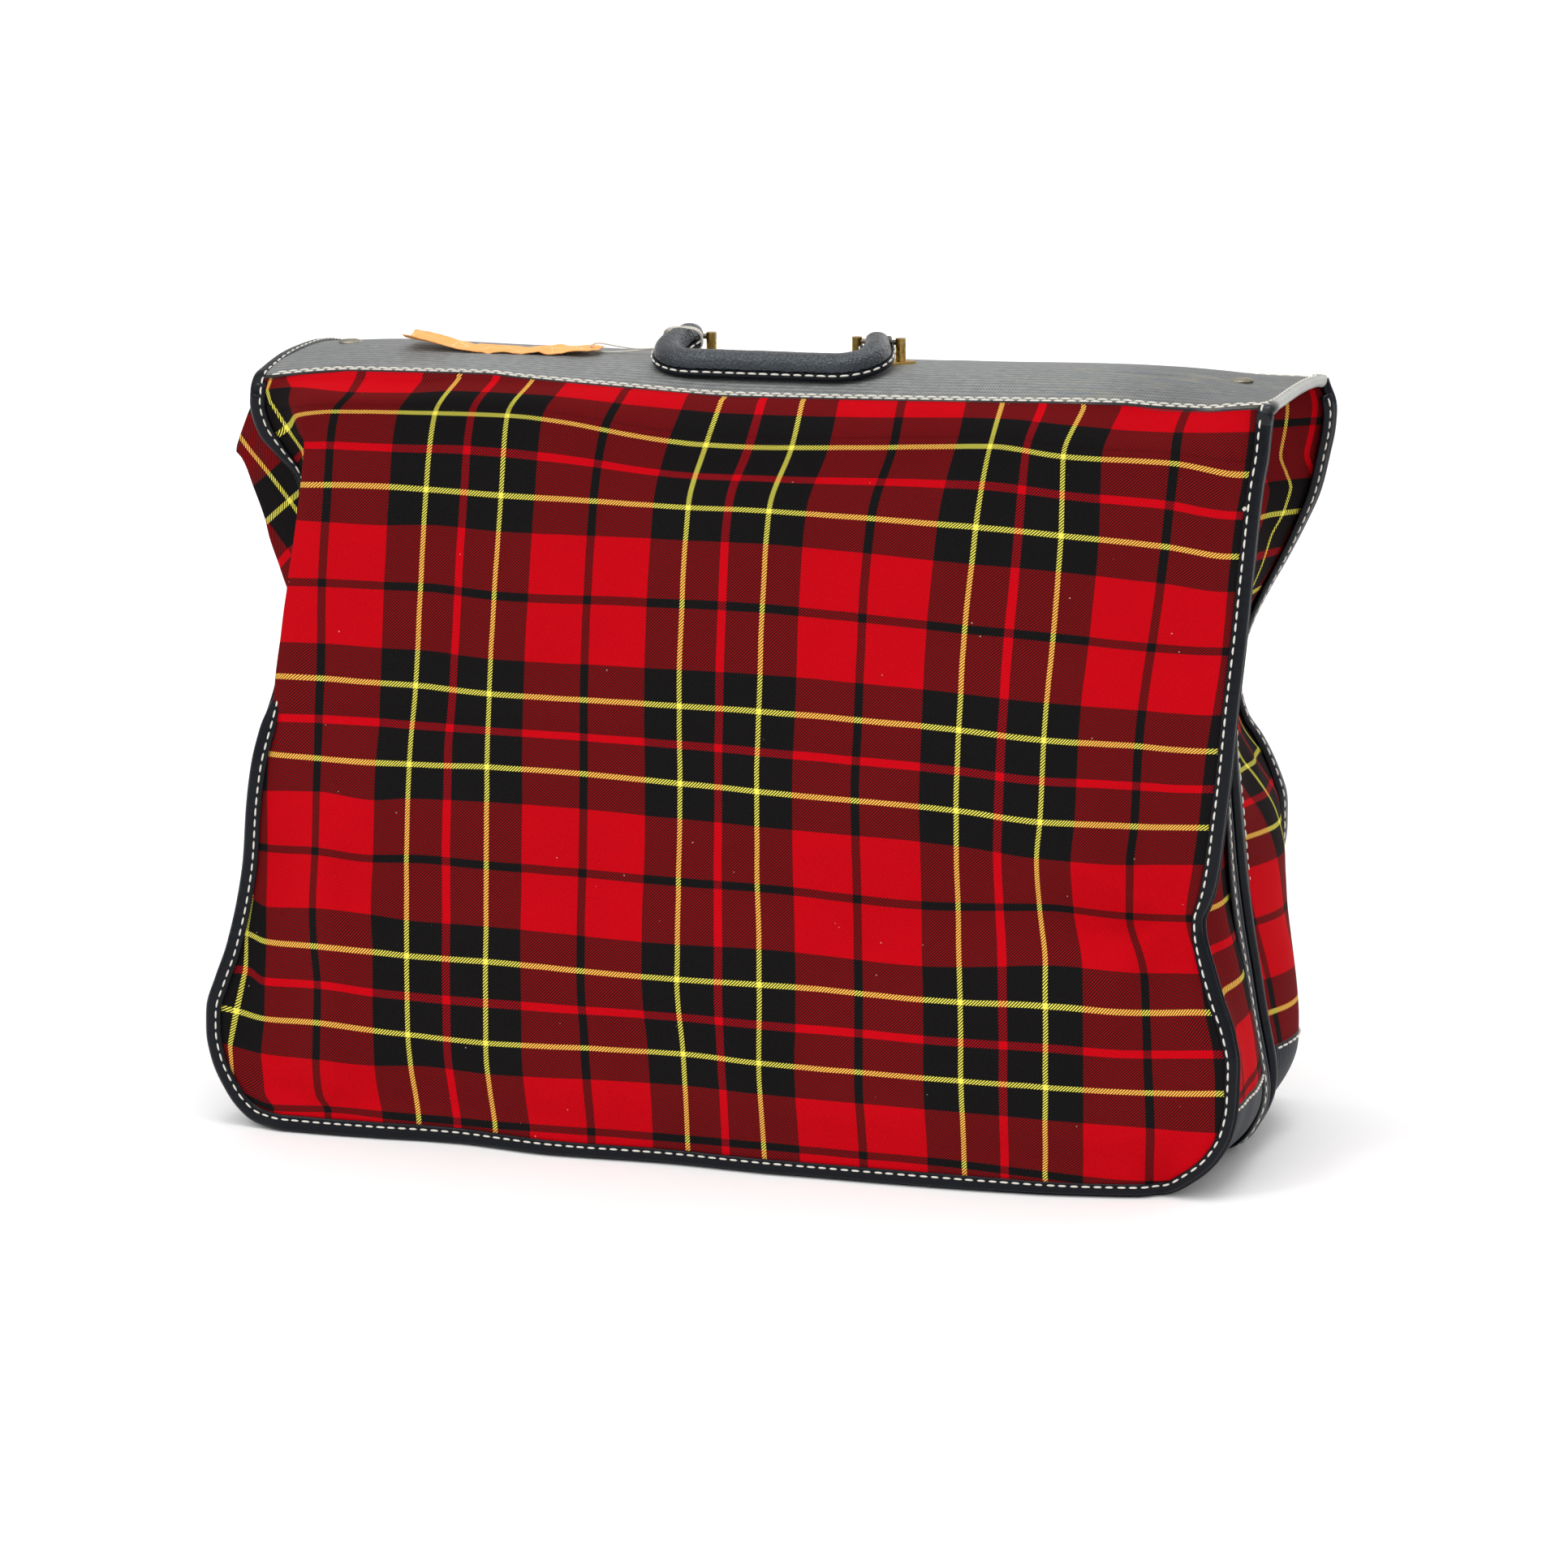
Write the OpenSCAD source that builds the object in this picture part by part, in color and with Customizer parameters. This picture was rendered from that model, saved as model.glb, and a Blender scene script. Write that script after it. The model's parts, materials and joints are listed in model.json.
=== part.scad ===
// Soft folding suitcase: a tartan carrier that folds in half over a stiff
// vinyl spine. Two zipped pockets hang from the spine's edges, and a padded
// handle folds flat on two brass brackets.
// Millimetres, +Z up, front is -Y, origin at the middle of the foot.

/* [Case] */
// Width of the case over its side bindings
case_w = 616; // [576:8:656]
// Height of the spine's front and rear edges above the floor
edge_h = 448; // [434:2:462]
// Depth of the spine from its front edge to its rear edge
spine_d = 136; // [132:2:142]
// Depth of the closed case at its foot
foot_d = 212; // [196:2:220]
// Rise of the spine's crown above its edges
crown = 9.5; // [9:0.5:10]
// Radius of the bindings' centre line at the foot corners
corner_r = 35; // [32:1:40]

/* [Sheets] */
// Thickness of the fabric panels and gussets
fabric_t = 2; // [1.5:0.1:2.5]
// Thickness of the spine's vinyl cover
cover_t = 1.6; // [1.2:0.1:2]
// Thickness of the stiffener board in the spine
board_t = 3; // [2.5:0.25:3.5]
// Thickness of the spine's lining
lining_t = 1; // [0.8:0.1:1.2]
// Thickness of the steel stay under the spine
stay_t = 1.5; // [1:0.25:2]

/* [Bindings] */
// Radius of the rolled bead
bead_r = 4; // [3.5:0.1:4]
// Width of the stitched flange, from the bead's centre
flange_w = 12; // [10:0.5:12]
// Thickness of the flange
flange_t = 1.5; // [1:0.1:1.5]

/* [Handle] */
// Distance from the case's middle to the middle of each bracket
bracket_x = 57; // [54:1:60]
// Distance from a bracket's middle to each of its two posts
post_dx = 13; // [12.5:0.25:15]
// Radius of a bracket post
post_r = 3; // [2.5:0.25:3]
// Height of a bracket post above its plate
post_h = 13; // [12.5:0.5:14]
// Radius of the pivot pins
pin_r = 1.5; // [1.2:0.1:1.7]
// Height of the pivot pins above the bracket plates
pin_up = 10.5; // [10:0.25:11]
// Distance from the pivot to the middle of the grip
grip_h = 45; // [42:1:46]
// Angle of the stored handle, counted from upright towards the front
fold_rest = 104; // [96:1:104]
// Half the length of a bracket's pointed plate
plate_l = 22; // [20:1:23]
// Half the width of a bracket's pointed plate
plate_w = 9; // [8:0.5:10]

/* [Zips] */
// Width of each half of the zip's tape
tape_w = 3.5; // [3:0.1:3.8]
// Gap between the two rows of teeth, where the slider's wedge runs
zip_gap = 0.8; // [0.7:0.05:1]
// Distance from the case's middle to the parked slider
slider_x = 240; // [200:5:244]

/* [Tag] */
// Width of the card tag
tag_w = 24; // [20:1:28]
// Thickness of the card tag
tag_t = 0.8; // [0.6:0.1:1]
// Angle of the resting tag, from straight sideways towards the front
tag_turn = 6; // [0:1:12]
// Diameter of the tag's string
string_d = 1.2; // [1:0.1:1.2]

/* [Hidden] */
$fn = 48;

half_w = case_w / 2;
half_s = spine_d / 2;
crown_R = (half_s * half_s + crown * crown) / (2 * crown);
crown_c = edge_h + crown - crown_R;      // height of the crown circle's centre
top_z = edge_h + crown;                  // crest of the spine
hinge_z = edge_h - 2;                    // fold line under the spine's edge
bead_x = half_w - bead_r;                // centre line of the side beads
lean = atan((foot_d / 2 - half_s) / (edge_h - 4));
bead_in = 3;                             // bead's centre behind the panel's plane
foot_l = (hinge_z - bead_r - bead_in * sin(lean)) / cos(lean);
corner_x = bead_x - corner_r;
corner_z = bead_r + corner_r;
seam_y = 0.3;                            // each pocket stops this far from the middle plane
bead_y = seam_y + bead_r;
back_y = seam_y + 2 * bead_r + 0.05;     // where a gusset ends behind its inner bead
plate_t = 1.5;
pin_z = top_z + plate_t + pin_up;
shank_r = 2;
stud_x = 269;
ply = 0.06;                              // room between the curved plies of the spine
stay_z = crown_z(12) - cover_t - board_t - lining_t - 2 * ply - 0.1;
panel_z0 = 437.5 - 445 + edge_h;         // top of the inner panels
tape_r = corner_r - flange_w - 0.2;      // outer edge of the zip, from the corner's centre
row_w = 2.2;                             // width of one row of teeth
run = 0.05;                              // running clearance of a pin in its bore

function crown_z(y) = crown_c + sqrt(crown_R * crown_R - y * y);
function arc_pts(cx, cy, r, a0, a1, n) =
  [for (i = [0:n]) let (a = a0 + (a1 - a0) * i / n) [cx + r * cos(a), cy + r * sin(a)]];
function flip(pts) = [for (i = [len(pts) - 1:-1:0]) [-pts[i][0], pts[i][1]]];
function back(pts) = [for (i = [len(pts) - 1:-1:0]) pts[i]];

// A 2D shape in (y, z) drawn along X, about the middle.
module along_x(w) rotate([90, 0, 90]) linear_extrude(height = w, center = true) children();
// A 2D shape in (x, z) drawn from y0 to y1.
module along_y(y0, y1) translate([0, y1, 0]) rotate([90, 0, 0]) linear_extrude(height = y1 - y0) children();
module both_sides() { children(); mirror([1, 0, 0]) children(); }
// The front panel's own plane: hung on the fold line, -Z down the panel, +Y into the pocket.
module panel_frame() translate([0, -half_s, hinge_z]) rotate([-lean, 0, 0]) children();

// ---------------------------------------------------------------- spine
// A sheet that follows the crown, from `down` below the cover's face.
module crown_sheet(w, d, down, t) {
  n = 14;
  pts = concat(
    [for (i = [0:n]) let (y = -d / 2 + d * i / n) [y, crown_z(y) - down]],
    [for (i = [n:-1:0]) let (y = -d / 2 + d * i / n) [y, crown_z(y) - down - t]]);
  along_x(w) polygon(pts);
}
module spine_holes(r, shanks = true) {
  for (s = [-1, 1]) {
    translate([s * stud_x, 0, top_z - 30]) cylinder(r = r, h = 40);
    if (shanks) for (d = [-1, 1])
      translate([s * bracket_x + d * post_dx, 0, top_z - 30]) cylinder(r = r, h = 40);
  }
}
module spine_cover() color([0.13, 0.14, 0.16]) difference() {
  crown_sheet(2 * (bead_x - bead_r) - 0.2, spine_d, 0, cover_t);
  spine_holes(shank_r + run);
}
module spine_board() color([0.45, 0.33, 0.22]) difference() {
  crown_sheet(2 * (bead_x - bead_r) - 14, spine_d - 10, cover_t + ply, board_t);
  spine_holes(shank_r + run);
}
module spine_lining() color([0.25, 0.24, 0.25]) difference() {
  crown_sheet(2 * (bead_x - bead_r) - 8, spine_d - 8, cover_t + board_t + 2 * ply, lining_t);
  spine_holes(shank_r + run);
}
module spine_stay() color([0.6, 0.61, 0.63]) difference() {
  translate([-(stud_x + 10), -12, stay_z - stay_t]) cube([2 * (stud_x + 10), 24, stay_t]);
  spine_holes(shank_r + run);
}
// Rolled bead and its flange over the end of the cover, bent to the crown.
module spine_end_binding() color([0.07, 0.08, 0.1]) {
  b = asin(half_s / crown_R);
  translate([bead_x, 0, crown_c]) rotate([90, 0, 90]) rotate([0, 0, 90 - b])
    rotate_extrude(angle = 2 * b, $fn = 180) {
      translate([crown_R - 2.5, 0]) circle(r = bead_r);
      translate([crown_R + 0.05, -flange_w]) square([flange_t - 0.3, flange_w]);
    }
}
module end_studs() color([0.42, 0.38, 0.3]) for (s = [-1, 1]) translate([s * stud_x, 0, 0]) {
  // low domed head, cut from a sphere, over a straight shank
  intersection() {
    translate([0, 0, top_z - 11.6]) sphere(r = 13.4, $fn = 64);
    translate([0, 0, top_z + 0.02]) cylinder(r = 6.4, h = 4);
  }
  translate([0, 0, stay_z - stay_t - 1.4]) cylinder(r = shank_r - 0.1, h = top_z + 0.5 - (stay_z - stay_t - 1.4));
}
module end_stud_washers() color([0.6, 0.61, 0.63]) for (s = [-1, 1])
  translate([s * stud_x, 0, stay_z - stay_t - 1.05]) washer();
module washer() difference() {
  cylinder(r = 5, h = 1);
  translate([0, 0, -1]) cylinder(r = shank_r + run, h = 3);
}
module post_washers() color([0.6, 0.61, 0.63]) for (s = [-1, 1]) for (d = [-1, 1])
  translate([s * bracket_x + d * post_dx, 0, stay_z - stay_t - 1.05]) washer();

// ---------------------------------------------------------------- handle brackets
plate_R = (plate_l * plate_l + plate_w * plate_w) / (2 * plate_w);
module bracket_plate() color([0.72, 0.56, 0.22]) translate([-bracket_x, 0, top_z]) difference() {
  intersection() {
    translate([0, plate_R - plate_w, 0]) cylinder(r = plate_R, h = plate_t, $fn = 96);
    translate([0, plate_w - plate_R, 0]) cylinder(r = plate_R, h = plate_t, $fn = 96);
  }
  for (d = [-1, 1]) translate([d * post_dx, 0, -1]) cylinder(r = shank_r + run, h = 4);
}
module bracket_posts() color([0.72, 0.56, 0.22]) for (d = [-1, 1]) translate([-bracket_x + d * post_dx, 0, 0])
  difference() {
    union() {
      translate([0, 0, top_z + plate_t]) cylinder(r = post_r, h = post_h);
      translate([0, 0, stay_z - stay_t - 1.4]) cylinder(r = shank_r - 0.1, h = top_z + plate_t + 0.5 - (stay_z - stay_t - 1.4));
    }
    translate([-10, 0, pin_z]) rotate([0, 90, 0]) cylinder(r = pin_r + run, h = 20);
  }
module pivot_pin() color([0.5, 0.45, 0.35]) translate([-bracket_x - post_dx - 2.6, 0, pin_z])
  rotate([0, 90, 0]) cylinder(r = pin_r, h = 2 * post_dx + 5.2);

// ---------------------------------------------------------------- handle
// Built upright about its pivot, then laid over to the front.
module handle_frame() translate([0, 0, pin_z]) rotate([fold_rest, 0, 0]) children();
arm_x = bracket_x + 4.5;
bend_r = 20;
half_line = concat([[bracket_x, 0], [bracket_x + 0.5, 6], [bracket_x + 3, 15]],
  [for (a = [0:15:90]) [arm_x - bend_r + bend_r * cos(a), grip_h - bend_r + bend_r * sin(a)]]);
handle_line = concat(half_line, flip(half_line));
function along(L, i) = let (p = L[max(i - 1, 0)], q = L[min(i + 1, len(L) - 1)], v = q - p) v / norm(v);
function beside(L, d) = [for (i = [0:len(L) - 1]) let (t = along(L, i)) [L[i][0] + d * t[1], L[i][1] - d * t[0]]];
function band(w) = concat(beside(handle_line, w), back(beside(handle_line, -w)));
module handle_ball(p, r) translate([p[0], 1.3, p[1]]) scale([1, 0.9, 1]) sphere(r = r, $fn = 20);
module handle_grip() color([0.1, 0.12, 0.15]) handle_frame() difference() {
  union() {
    for (s = [-1, 1]) {
      hull() { handle_ball([s * bracket_x, 1.5], 7); handle_ball([s * (bracket_x + 3), 18], 8.6); }
      hull() { handle_ball([s * (bracket_x + 3), 18], 8.6); handle_ball([s * (arm_x - 6), grip_h - 6], 9); }
      hull() { handle_ball([s * (arm_x - 6), grip_h - 6], 9); handle_ball([s * (arm_x - 20), grip_h], 9); }
    }
    hull() { handle_ball([-(arm_x - 20), grip_h], 9); handle_ball([arm_x - 20, grip_h], 9); }
  }
  translate([-100, -20, -20]) cube([200, 21.3, 100]);
  for (s = [-1, 1]) translate([s * bracket_x - 7.3, 0, 0]) rotate([0, 90, 0]) cylinder(r = 3.9, h = 14.6);
  translate([-100, 0, 0]) rotate([0, 90, 0]) cylinder(r = 2, h = 200);
}
module handle_backing() color([0.1, 0.12, 0.15]) handle_frame() along_y(-3.5, -1.3) difference() {
  polygon(band(9));
  translate([-100, -20]) square([200, 25.5]);
}
module handle_welt() color([0.07, 0.08, 0.1]) handle_frame() along_y(-1.25, 1.25) difference() {
  polygon(band(10.2));
  polygon(band(5.1));
  translate([-100, -20]) square([200, 25.5]);
}
module handle_core() color([0.6, 0.61, 0.63]) handle_frame() difference() {
  union() {
    along_y(-1.25, 1.25) polygon(band(5));
    for (s = [-1, 1]) translate([s * bracket_x - 7, 0, 0]) rotate([0, 90, 0]) cylinder(r = 3.6, h = 14);
  }
  translate([-100, 0, 0]) rotate([0, 90, 0]) cylinder(r = pin_r + run, h = 200);
}
// One turn of string round the neck of the handle's left arm.
module tag_loop() color([0.85, 0.83, 0.78]) handle_frame() translate([-bracket_x - 1.3, 1.9, 8]) linear_extrude(height = string_d)
  difference() {
    polygon(rr_pts(12.1, 7.7, 3.5));
    polygon(rr_pts(10.9, 6.5, 2.5));
  }
function rr_pts(a, b, r) = concat(arc_pts(a - r, b - r, r, 0, 90, 5), arc_pts(r - a, b - r, r, 90, 180, 5),
  arc_pts(r - a, r - b, r, 180, 270, 5), arc_pts(a - r, r - b, r, 270, 360, 5));

// ---------------------------------------------------------------- pockets
// A binding's section: u is outwards from its centre line, v is through the case.
module binding_section(v_bead, v_flange) {
  translate([0, v_bead]) circle(r = bead_r);
  translate([-flange_w, v_flange]) square([flange_w, flange_t]);
}
// Down the right side to the foot corner, then to the middle of the foot.
module half_binding(top, foot, v_bead, v_flange) {
  translate([bead_x, 0, -foot + corner_r]) linear_extrude(height = foot - corner_r - top) binding_section(v_bead, v_flange);
  translate([corner_x, 0, -foot + corner_r]) rotate([-90, 0, 0]) rotate_extrude(angle = 90, $fn = 96)
    translate([corner_r, 0]) binding_section(v_bead, v_flange);
  translate([0, 0, -foot]) rotate([0, 90, 0]) linear_extrude(height = corner_x) binding_section(v_bead, v_flange);
}
module outer_binding() color([0.07, 0.08, 0.1]) panel_frame() both_sides()
  half_binding(6, foot_l, bead_in, -0.5);
module inner_binding() color([0.07, 0.08, 0.1]) both_sides()
  translate([0, 0, 438 - 445 + edge_h]) half_binding(0, 438 - 445 + edge_h - bead_r, -bead_y, -bead_y - 3.9);
module outer_panel() color([0.7, 0.05, 0.08]) panel_frame() along_y(1, 1 + fabric_t) {
  x = bead_x - bead_r - 0.1;
  r = corner_r - bead_r - 0.1;
  polygon(concat([[x, -3], [-x, -3]],
    arc_pts(-corner_x, -foot_l + corner_r, r, 180, 270, 8),
    arc_pts(corner_x, -foot_l + corner_r, r, 270, 360, 8)));
}
module behind_panel() difference() {
  children();
  panel_frame() translate([-400, -200, -600]) cube([800, 200 + bead_in + bead_r + 0.05, 800]);
}
module gusset() color([0.7, 0.05, 0.08]) behind_panel()
  translate([half_w - fabric_t, -120, corner_z + 0.05]) cube([fabric_t, 120 - back_y, 438 - 445 + edge_h - corner_z]);
module base() color([0.1, 0.11, 0.13]) behind_panel() along_y(-120, -back_y)
  translate([-corner_x, corner_z - corner_r - bead_r]) square([2 * corner_x, fabric_t]);
// The foot's rounded right corner; the vinyl runs on from the base.
module base_corner() color([0.1, 0.11, 0.13]) behind_panel() along_y(-120, -back_y) {
  R = corner_r + bead_r;
  polygon(concat(arc_pts(corner_x, corner_z, R, 270, 360, 8), back(arc_pts(corner_x, corner_z, R - fabric_t, 270, 360, 8))));
}
// A U band between two radii about the foot corners.
function u_line(r, top) = concat([[-corner_x - r, top]], arc_pts(-corner_x, corner_z, r, 180, 270, 6),
  arc_pts(corner_x, corner_z, r, 270, 360, 6), [[corner_x + r, top]]);
module u_band(r0, r1, top) polygon(concat(u_line(r1, top), back(u_line(r0, top))));
zip_y = -seam_y - bead_r - 2.45;         // middle of the tapes' thickness
inner_r = tape_r - 2 * tape_w - zip_gap;
// The half of the zip that is sewn to the pocket, with a notch where the slider parks.
module zip_outer() color([0.35, 0.3, 0.2]) difference() {
  union() {
    along_y(zip_y - 0.4, zip_y + 0.4) u_band(tape_r - tape_w, tape_r, panel_z0);
    along_y(zip_y - 1.2, zip_y + 1.3) u_band(tape_r - tape_w, tape_r - tape_w + row_w, panel_z0);
  }
  translate([slider_x - 10, -20, 10]) cube([20, 19, corner_z - tape_r + tape_w - 10 + 0.3]);
}
module zip_inner() color([0.35, 0.3, 0.2]) {
  along_y(zip_y - 0.4, zip_y + 0.4) u_band(inner_r, inner_r + tape_w, panel_z0);
  along_y(zip_y - 1.2, zip_y + 1.3) u_band(inner_r + tape_w - row_w, inner_r + tape_w, panel_z0);
}
module inner_panel() color([0.25, 0.24, 0.25]) along_y(zip_y - 1, zip_y + 1)
  polygon(concat([[corner_x + inner_r - 0.05, panel_z0], [-corner_x - inner_r + 0.05, panel_z0]],
    arc_pts(-corner_x, corner_z, inner_r - 0.05, 180, 270, 6), arc_pts(corner_x, corner_z, inner_r - 0.05, 270, 360, 6)));
module top_web() color([0.25, 0.24, 0.25])
  translate([-(corner_x + inner_r), -half_s + 5, panel_z0 - 2]) cube([2 * (corner_x + inner_r), half_s - 5 + zip_y - 1.05, 2]);
slit_z = corner_z - tape_r + tape_w + zip_gap / 2;   // middle of the gap along the foot
module slider() color([0.72, 0.56, 0.22]) translate([slider_x, zip_y, slit_z]) {
  // front plate, back plate and the wedge that joins them through the gap
  translate([-7, 1.4, -3.4]) cube([14, 1.3, 6.8]);
  translate([-7, -2.6, -3.4]) cube([14, 1.3, 6.8]);
  translate([-2, -2, -(zip_gap / 2 - 0.1)]) cube([4, 4, zip_gap - 0.2]);
  // lips that hold the rows of teeth, open for the tapes
  for (s = [-1, 1]) for (y = [[-2, -0.6], [0.7, 1.6]])
    translate([-7, y[0], s * 3.1 - 0.3]) cube([14, y[1] - y[0], 0.6]);
  // crown along the zip, with room for the pull's bar under it
  for (x = [-3, 2]) translate([x, 2.6, -0.9]) cube([1, 2.3, 1.8]);
  translate([-3, 4.1, -0.9]) cube([6, 0.8, 1.8]);
}
// Flat along the zip at rest: a round bar under the crown, an eye that clears it, and a tab.
module pull() color([0.72, 0.56, 0.22]) translate([slider_x, zip_y + 3.4, slit_z]) {
  translate([0, 0, -3.2]) cylinder(r = 0.6, h = 6.4, $fn = 32);
  along_y(-0.5, 0.5) difference() {
    polygon([[0, -3.2], [0, -1.6], [-5, -1.6], [-5, 1.6], [0, 1.6], [0, 3.2], [-20, 3.2], [-22, 2], [-22, -2], [-20, -3.2]]);
    translate([-18, -1.2]) square([7, 2.4]);
  }
}
// The front pocket's modules serve the rear pocket as well, turned about the middle plane.
module rear() mirror([0, 1, 0]) children();

// ---------------------------------------------------------------- tag
// Card strip seen from the front: the eyelet end is held up by its string, then it
// lies on the spine, and the far end curls up past a crease.
tag_line = [[-112, 458.6], [-122, 458.4], [-134, 456.6], [-160, 455.9], [-178, 456.2], [-196, 459.5], [-214, 462.5], [-228, 464.5]];
// The tag and its string hang on the outer post of the handle's left bracket.
module tag_frame() translate([-bracket_x - post_dx, 0, 0]) rotate([0, 0, tag_turn]) translate([71.5, 0, 0]) children();
module luggage_tag() color([0.95, 0.5, 0.15]) tag_frame() difference() {
  along_y(-tag_w / 2, tag_w / 2) polygon(concat(
    [for (p = tag_line) p + [0, edge_h - 445 + crown - 10]],
    back([for (p = tag_line) p + [0, edge_h - 445 + crown - 10 + tag_t]])));
  translate([-117.5, 0, top_z - 5]) cylinder(r = 2.5, h = 20);
}
// The string leaves the handle's left bracket, runs along the spine, goes down through
// the tag's hole and comes back beside itself.
string_pts = [[-67.6, -1.2, 459.4], [-68.8, -3, 459.6], [-71.5, -4, 459.8], [-75, -3.6, 459.8], [-80, -3, 459.4],
  [-90, -2.6, 459], [-100, -2.2, 460], [-108, -1.4, 461.2], [-113, -0.8, 461.7], [-116.6, -0.3, 461], [-118.4, 0, 459],
  [-117.2, 0.3, 457.2], [-113.4, 0.8, 456.4], [-107, 1.4, 456.2], [-98, 2, 456.6], [-88, 2.6, 457.6], [-80, 3, 458.4],
  [-75, 3.6, 459.4], [-71.5, 4, 460.4], [-68.8, 3, 461.2], [-67.6, 1.2, 461.6]];
function spline(P, i, t) = let (n = len(P) - 1, a = P[max(i - 1, 0)], b = P[i], c = P[min(i + 1, n)], d = P[min(i + 2, n)])
  0.5 * ((2 * b) + (c - a) * t + (2 * a - 5 * b + 4 * c - d) * t * t + (3 * b - a - 3 * c + d) * t * t * t);
string_line = concat([for (i = [0:len(string_pts) - 2]) for (t = [0, 0.5]) spline(string_pts, i, t)],
  [string_pts[len(string_pts) - 1]]);
function ring(L, i, r, k) = let (p = L[max(i - 1, 0)], q = L[min(i + 1, len(L) - 1)], t = (q - p) / norm(q - p),
  a = cross(t, [0.12, 0.15, 1]), u = a / norm(a), w = cross(t, u))
  [for (j = [0:k - 1]) L[i] + r * (cos(360 * j / k) * u + sin(360 * j / k) * w)];
module tag_string() color([0.85, 0.83, 0.78]) tag_frame() translate([0, 0, edge_h - 445 + crown - 10]) {
  n = len(string_line);
  k = 8;
  polyhedron(points = [for (i = [0:n - 1]) each ring(string_line, i, string_d / 2, k)],
    faces = concat([[for (j = [0:k - 1]) j]], [[for (j = [k - 1:-1:0]) (n - 1) * k + j]],
      [for (i = [0:n - 2]) for (j = [0:k - 1]) [i * k + j, (i + 1) * k + j, (i + 1) * k + (j + 1) % k, i * k + (j + 1) % k]]));
}

spine_cover();
spine_board();
spine_lining();
spine_stay();
mirror([1, 0, 0]) spine_end_binding();  // spine_end_binding_left
spine_end_binding();  // spine_end_binding_right
bracket_plate();  // bracket_plate_left
mirror([1, 0, 0]) bracket_plate();  // bracket_plate_right
bracket_posts();  // bracket_posts_left
mirror([1, 0, 0]) bracket_posts();  // bracket_posts_right
pivot_pin();  // pivot_pin_left
mirror([1, 0, 0]) pivot_pin();  // pivot_pin_right
post_washers();
end_studs();
end_stud_washers();
handle_grip();
handle_backing();
handle_welt();
handle_core();
tag_loop();
outer_panel();  // front_panel
mirror([1, 0, 0]) gusset();  // front_gusset_left
gusset();  // front_gusset_right
base();  // front_base
mirror([1, 0, 0]) base_corner();  // front_base_corner_left
base_corner();  // front_base_corner_right
outer_binding();  // front_outer_binding
inner_binding();  // front_inner_binding
zip_outer();  // front_zip_outer
inner_panel();  // front_inner_panel
top_web();  // front_top_web
zip_inner();  // front_zip_inner
slider();  // front_zip_slider
pull();  // front_zip_pull
rear() outer_panel();  // rear_panel
rear() mirror([1, 0, 0]) gusset();  // rear_gusset_left
rear() gusset();  // rear_gusset_right
rear() base();  // rear_base
rear() mirror([1, 0, 0]) base_corner();  // rear_base_corner_left
rear() base_corner();  // rear_base_corner_right
rear() outer_binding();  // rear_outer_binding
rear() inner_binding();  // rear_inner_binding
rear() zip_outer();  // rear_zip_outer
rear() inner_panel();  // rear_inner_panel
rear() top_web();  // rear_top_web
rear() zip_inner();  // rear_zip_inner
rear() slider();  // rear_zip_slider
rear() pull();  // rear_zip_pull
luggage_tag();
tag_string();
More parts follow.
